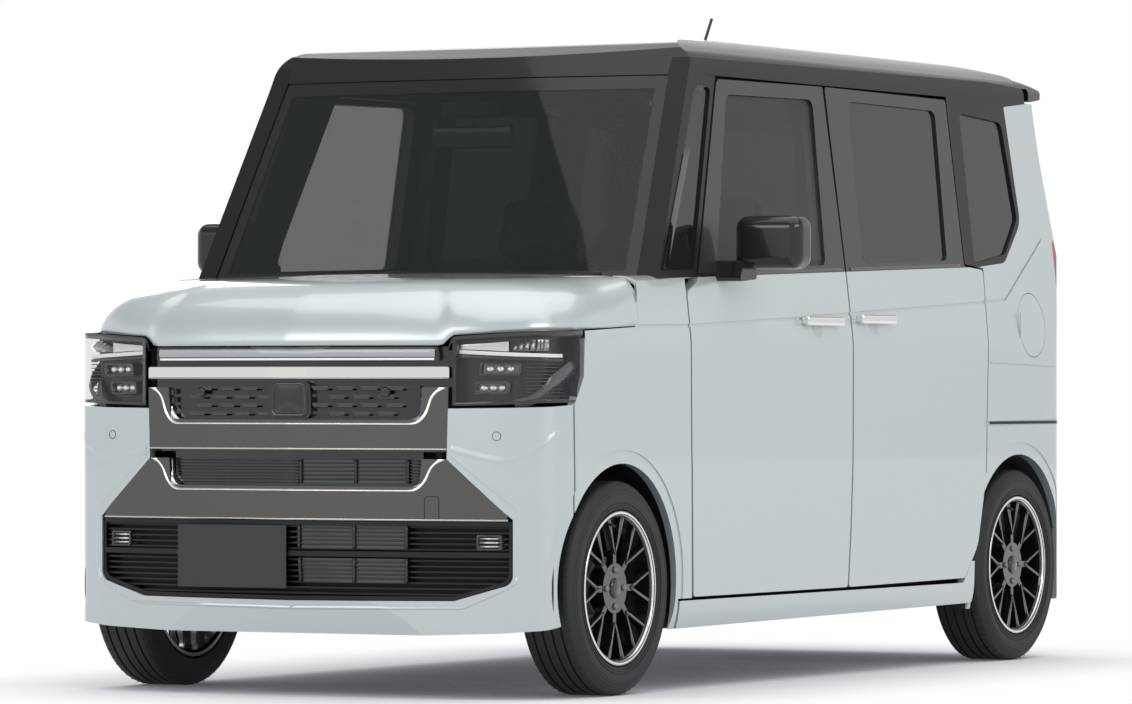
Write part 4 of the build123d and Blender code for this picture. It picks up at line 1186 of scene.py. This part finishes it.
def pad(name, size, place, power=7.0, swell=0.010, cuts=22):
    """Crowned pad: a rounded block, swollen by cloth under pressure with its movement capped."""
    bm = bmesh.new()
    bmesh.ops.create_cube(bm, size=2.0)
    bmesh.ops.subdivide_edges(bm, edges=bm.edges[:], cuts=cuts, use_grid_fill=True)
    half = Vector(size) / 2 - Vector((swell, swell, swell)) * 0.7
    for v in bm.verts:
        n = (abs(v.co.x) ** power + abs(v.co.y) ** power + abs(v.co.z) ** power) ** (1 / power)
        c = v.co / n
        v.co = Vector((c.x * half.x, c.y * half.y, c.z * half.z))
    me = bpy.data.meshes.new(name)
    bm.to_mesh(me)
    bm.free()
    o = bpy.data.objects.new(name, me)
    bpy.context.scene.collection.objects.link(o)
    start = [v.co.copy() for v in me.vertices]
    cloth = o.modifiers.new("cloth", "CLOTH")
    c = cloth.settings
    c.quality, c.use_pressure, c.uniform_pressure_force = 4, True, CLOTH_PRESSURE
    c.effector_weights.gravity = 0.0
    for frame_no in range(1, CLOTH_STEPS + 1):
        bpy.context.scene.frame_set(frame_no)
    moved = o.evaluated_get(bpy.context.evaluated_depsgraph_get()).to_mesh()
    ends = [v.co.copy() for v in moved.vertices]
    o.evaluated_get(bpy.context.evaluated_depsgraph_get()).to_mesh_clear()
    o.modifiers.remove(cloth)
    bpy.context.scene.frame_set(1)
    for v, a, b in zip(me.vertices, start, ends):
        step = b - a
        if step.length > swell:
            step = step.normalized() * swell
        v.co = a + step
    for v in me.vertices:
        v.co = place @ v.co
    o.modifiers.new("smooth", "SUBSURF").levels = 1
    o.modifiers["smooth"].render_levels = 1
    finish(o, LEATHER, "car_body")
    return o


def seam(name, obj, rows, r=0.0022):
    """Sewn seams laid on a pad's surface; rows hold start points and directions."""
    me = obj.data
    tree = BVHTree.FromPolygons([v.co for v in me.vertices], [list(p.vertices) for p in me.polygons])
    paths = []
    for points, direction in rows:
        path = []
        for p in points:
            hit = tree.ray_cast(p, direction)
            if hit[0] is not None:
                path.append(hit[0] - direction * 0.0002)
        if len(path) > 3:
            paths.append(path)
    if paths:
        sweep(name, paths, SEAL, r=r, sides=5)


def seat(s, tag, label, x, d, w):
    """Cushion, back, head rest, seams and base; x is its middle, d its front edge and w its width."""
    base = Matrix.Translation((s * x, Y(d + 0.250), 0.540))
    back = Matrix.Translation((s * x, Y(d + 0.470), 0.600)) @ Matrix.Rotation(math.radians(-16), 4, "X")
    a = pad("%s_seat_cushion%s" % (label, tag), (w, 0.500, 0.150), base)
    b = pad(
        "%s_seat_back%s" % (label, tag), (w - 0.02, 0.110, 0.590), back @ Matrix.Translation((0, 0, 0.295))
    )
    pad(
        "%s_head_rest%s" % (label, tag), (0.250, 0.090, 0.190), back @ Matrix.Translation((0, 0, 0.6853)),
        cuts=12
    )
    side, down = w * 0.27, Vector((0, 0, -1))
    across = [-w * 0.27 + w * 0.54 * k / 12 for k in range(13)]
    rows = [
        ([base @ Vector((u, -0.22 + 0.44 * k / 20, 0.3)) for k in range(21)], down) for u in (-side, side)
    ]
    rows += [([base @ Vector((u, v, 0.3)) for u in across], down) for v in (-0.13, 0.0, 0.13)]
    seam("%s_seat_seams%s" % (label, tag), a, rows)
    forward = (back.to_3x3() @ Vector((0, 1, 0))).normalized()
    rows = [
        ([back @ Vector((u, -0.3, 0.05 + 0.49 * k / 20)) for k in range(21)], forward)
        for u in (-side, side)
    ]
    rows += [([back @ Vector((u, -0.3, v)) for u in across], forward) for v in (0.14, 0.28, 0.42)]
    seam("%s_back_seams%s" % (label, tag), b, rows)
    if s > 0:
        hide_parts("front_seats" if label == "front" else "rear_seat")
    boxes(
        "%s_seat_base%s" % (label, tag),
        [(s * x - w / 2 + 0.04, s * x + w / 2 - 0.04, Y(d + 0.04), Y(d + 0.296), 0.250, 0.468)], PLASTIC,
        bevel=0.006
    )


for s, tag in ((1, "_l"), (-1, "_r")):
    seat(s, tag, "front", 0.290, 0.780, 0.540)
    seat(s, tag, "rear", 0.254, 1.790, 0.496)


# rear lamps, handle, mirrors and inside
def behind(tree, x, z, out):
    """Where a line from behind meets the car, set out a little."""
    hit = cast(tree, Vector((x, Y(3.2), z)), Vector((0, -1, 0)))
    return hit + Vector((0, out, 0)) if hit is not None else None


def rear_patch(
    name, x0, x1, z0, z1, nodes, mat, body="car_body", out=0.001, thick=0.001, n=12
):
    """Patch laid from behind on the named nodes."""
    tree = tree_of(*nodes.split())
    rails = []
    for x in [x0 + (x1 - x0) * k / 6 for k in range(7)]:
        rail = [behind(tree, x, z0 + (z1 - z0) * k / n, out) for k in range(n + 1)]
        if any(p is None for p in rail):
            return None
        rails.append(rail)
    return ribbon(name, rails, mat, body, thick=thick)


lamp_box = [NODE["tail_lamps"].matrix_world @ Vector(c) for c in NODE["tail_lamps"].bound_box]
lamp_out = max(p.x for p in lamp_box)


def rear_side(s, tag):
    """Lights inside one tail lamp, the bumper's reflector and the mirror's glass."""
    x0 = s * (lamp_out - 0.060)
    rear_patch("tail_guide" + tag, x0, x0 + s * 0.014, 0.93, 1.225, "tail_lamps", REFLECTOR)
    rear_patch(
        "tail_turn" + tag, x0 - s * 0.006, x0 + s * 0.026, 0.862, 0.908, "tail_lamps", AMBER
    )
    rear_patch(
        "tail_reverse" + tag, x0 - s * 0.006, x0 + s * 0.026, 0.800, 0.848, "tail_lamps", CRYSTAL,
    )
    rear_patch(
        "rear_reflector" + tag, s * 0.500, s * 0.600, 0.352, 0.378, "rear_bumper", REFLECTOR
    )
    door = "front_door_left" if s > 0 else "front_door_right"
    boxes(
        "mirror_glass" + tag, [tuple(sorted((s * 0.776, s * 0.930))) + (Y(0.704), Y(0.7066), 1.148, 1.250)],
        CHROME, door, bevel=0.0012
    )


for s, tag in ((1, "_l"), (-1, "_r")):
    rear_side(s, tag)
rear_patch(
    "tailgate_handle", -0.150, 0.150, 0.958, 0.978, "tailgate", CHROME, "tailgate_lid",
    out=0.004, thick=0.006
)
for side, x0 in (("left", 0.05), ("right", -0.09)):
    rear_patch(
        "plate_lamp_" + side, x0, x0 + 0.04, 0.944, 0.952, "tailgate", CRYSTAL,
        "tailgate_lid", out=0.002, thick=0.002, n=4
    )
rear_patch(
    "high_stop_lamp", -0.110, 0.110, 1.676, 1.688, "spoiler", REFLECTOR, "tailgate_lid",
    out=0.0006, n=3
)
glass_tree = tree_of("tailgate_glass", "tailgate")
arm = [
    p
    for p in (
        behind(glass_tree, 0.02 - 0.34 * k / 16, 1.262 + 0.050 * math.sin(math.pi / 2 * k / 16), 0.016)
        for k in range(17)
    )
    if p is not None
]
sweep("rear_wiper_arm", arm, PLASTIC, "tailgate_lid", r=0.0055, flat=0.6)
blade = [
    p for p in (behind(glass_tree, -0.06 - 0.30 * k / 16, 1.318, 0.006) for k in range(17)) if p is not None
]
sweep("rear_wiper_blade", blade, SEAL, "tailgate_lid", r=0.0045)

screen_tree = tree_of("windscreen")


def on_screen(x, z, inset):
    """Point behind the windscreen's outer face."""
    hit = cast(screen_tree, Vector((x, Y(-1.5), z)), Vector((0, 1, 0)))
    return hit + Vector((0, inset, 0)) if hit is not None else Vector((x, Y(0.45 + inset), z))


top = on_screen(0.0, 1.575, 0.020)
boxes("screen_camera_housing", [(-0.075, 0.075, top.y, top.y + 0.075, 1.545, 1.590)], PLASTIC, bevel=0.008)
boxes(
    "inner_mirror", [(-0.125, 0.125, top.y + 0.040, top.y + 0.062, 1.462, 1.524)], GLOSS_BLACK, bevel=0.008
)
sweep(
    "inner_mirror_stem", [Vector((0, top.y + 0.045, 1.560)), Vector((0, top.y + 0.050, 1.515))], PLASTIC,
    r=0.008
)
boxes("dash_display", [(-0.112, 0.112, Y(0.5645), Y(0.5665), 1.044, 1.146)], GLOSS_BLACK, bevel=0.0006)
boxes(
    "dash_vents",
    [
        (x - 0.045, x + 0.045, Y(0.600), Y(0.6085), z, z + 0.004) for x in (-0.48, -0.155, 0.155, 0.48)
        for z in (0.944, 0.956, 0.968, 0.980)
    ],
    SLAT, bevel=0.0008
)

for node in NODE.values():
    soften(node, 0.0025)

# camera, light, floor
scene = bpy.context.scene
cam_data = bpy.data.cameras.new("camera")
cam = bpy.data.objects.new("camera", cam_data)
scene.collection.objects.link(cam)
CAMERA_AT = Vector((8.6578, -16.2656, 0.8179))
YAW, LIFT = math.radians(28.27), math.radians(0.277)
look = Vector((-math.sin(YAW) * math.cos(LIFT), math.cos(YAW) * math.cos(LIFT), math.sin(LIFT)))
cam.location = CAMERA_AT
cam.rotation_euler = look.to_track_quat("-Z", "Y").to_euler()
cam_data.sensor_fit, cam_data.sensor_width, cam_data.lens = "HORIZONTAL", 36.0, 206.5
cam_data.clip_end = 200
scene.camera = cam
scene.view_settings.view_transform = "Standard"


def lamp(name, loc, target, size, power, size_y=None):
    """Square or oblong area light that faces its target."""
    d = bpy.data.lights.new(name, "AREA")
    d.energy, d.size = power, size
    if size_y:
        d.shape, d.size_y = "RECTANGLE", size_y
    o = bpy.data.objects.new(name, d)
    scene.collection.objects.link(o)
    o.location = loc
    o.rotation_euler = (Vector(target) - Vector(loc)).to_track_quat("-Z", "Y").to_euler()
    return o


lamp("overhead", (0.6, -0.6, 5.6), (0, 0, 0.6), 7.0, 190, 8.0)
lamp("key_left", (6.5, -3.0, 3.6), (0, 0, 0.9), 4.5, 120, 2.0)
lamp("front_fill", (-2.5, -8.0, 3.4), (0, -1, 0.8), 4.5, 110, 2.5)
lamp("rear_fill", (-4.5, 5.5, 3.5), (0, 0, 0.8), 4.0, 110)


def ramp(nt, source, rows):
    """Colour ramp over rows of (place, colour) fed by a 0 to 1 value."""
    r = nt.nodes.new("ShaderNodeValToRGB")
    e = r.color_ramp.elements
    while len(e) < len(rows):
        e.new(0.5)
    for k, (place, color) in enumerate(rows):
        e[k].position, e[k].color = place, (*color, 1)
    nt.links.new(source, r.inputs["Fac"])
    return r.outputs["Color"]


def camera_mix(nt, other, seen, target, also=()):
    """Camera rays, and the kinds named, get one shader and all other rays the other."""
    path = nt.nodes.new("ShaderNodeLightPath")
    mix = nt.nodes.new("ShaderNodeMixShader")
    most = path.outputs["Is Camera Ray"]
    for kind in also:
        both = nt.nodes.new("ShaderNodeMath")
        both.operation = "MAXIMUM"
        nt.links.new(most, both.inputs[0])
        nt.links.new(path.outputs[kind], both.inputs[1])
        most = both.outputs[0]
    nt.links.new(most, mix.inputs[0])
    nt.links.new(other, mix.inputs[1])
    nt.links.new(seen, mix.inputs[2])
    nt.links.new(mix.outputs[0], target)


world = bpy.data.worlds.new("studio")
scene.world = world
world.use_nodes = True
nt = world.node_tree
bg = nt.nodes["Background"]
where = nt.nodes.new("ShaderNodeTexCoord")
split = nt.nodes.new("ShaderNodeSeparateXYZ")
nt.links.new(where.outputs["Generated"], split.inputs[0])
nt.links.new(
    ramp(
        nt, split.outputs["Z"],
        [
            (0.0, (0.86, 0.89, 0.92)), (0.05, (1.0, 1.0, 0.99)), (0.34, (1.0, 1.0, 0.98)),
            (0.46, (0.45, 0.47, 0.49)), (0.80, (0.42, 0.44, 0.46)), (0.95, (0.6, 0.6, 0.6))
        ]
    ),
    bg.inputs["Color"]
)
bg.inputs["Strength"].default_value = 0.88
white = nt.nodes.new("ShaderNodeBackground")
white.inputs["Color"].default_value = (1, 1, 1, 1)
camera_mix(
    nt, bg.outputs[0], white.outputs[0], nt.nodes["World Output"].inputs["Surface"],
    also=("Is Transmission Ray",)
)

bpy.ops.mesh.primitive_plane_add(size=90, location=(0, 0, 0))
floor = bpy.context.object
floor.name = "studio_floor"
fm = bpy.data.materials.new("white_floor_with_painted_shadow")
fm.use_nodes = True
nt = fm.node_tree
nt.nodes.remove(nt.nodes["Principled BSDF"])
# the floor's emission is darkened by ambient occlusion near the car: a painted contact shadow
near = nt.nodes.new("ShaderNodeAmbientOcclusion")
near.samples = 12
near.inputs["Distance"].default_value = 0.9
seen = nt.nodes.new("ShaderNodeEmission")
nt.links.new(
    ramp(
        nt, near.outputs["AO"],
        [
            (0.0, (0.06, 0.065, 0.07)), (0.30, (0.25, 0.26, 0.28)), (0.62, (0.66, 0.68, 0.70)),
            (0.92, (1.0, 1.0, 1.0))
        ]
    ),
    seen.inputs["Color"]
)
# other rays see a blue-grey glow that lights the car from below, darkened the same way: painted bounce
# light and painted shade
glow = nt.nodes.new("ShaderNodeEmission")
nt.links.new(
    ramp(
        nt, near.outputs["AO"],
        [(0.0, (0.03, 0.032, 0.036)), (0.6, (0.30, 0.33, 0.36)), (1.0, (0.47, 0.52, 0.56))]
    ),
    glow.inputs["Color"]
)
camera_mix(
    nt, glow.outputs[0], seen.outputs[0], nt.nodes["Material Output"].inputs["Surface"],
    also=("Is Glossy Ray", "Is Transmission Ray")
)
floor.data.materials.append(fm)
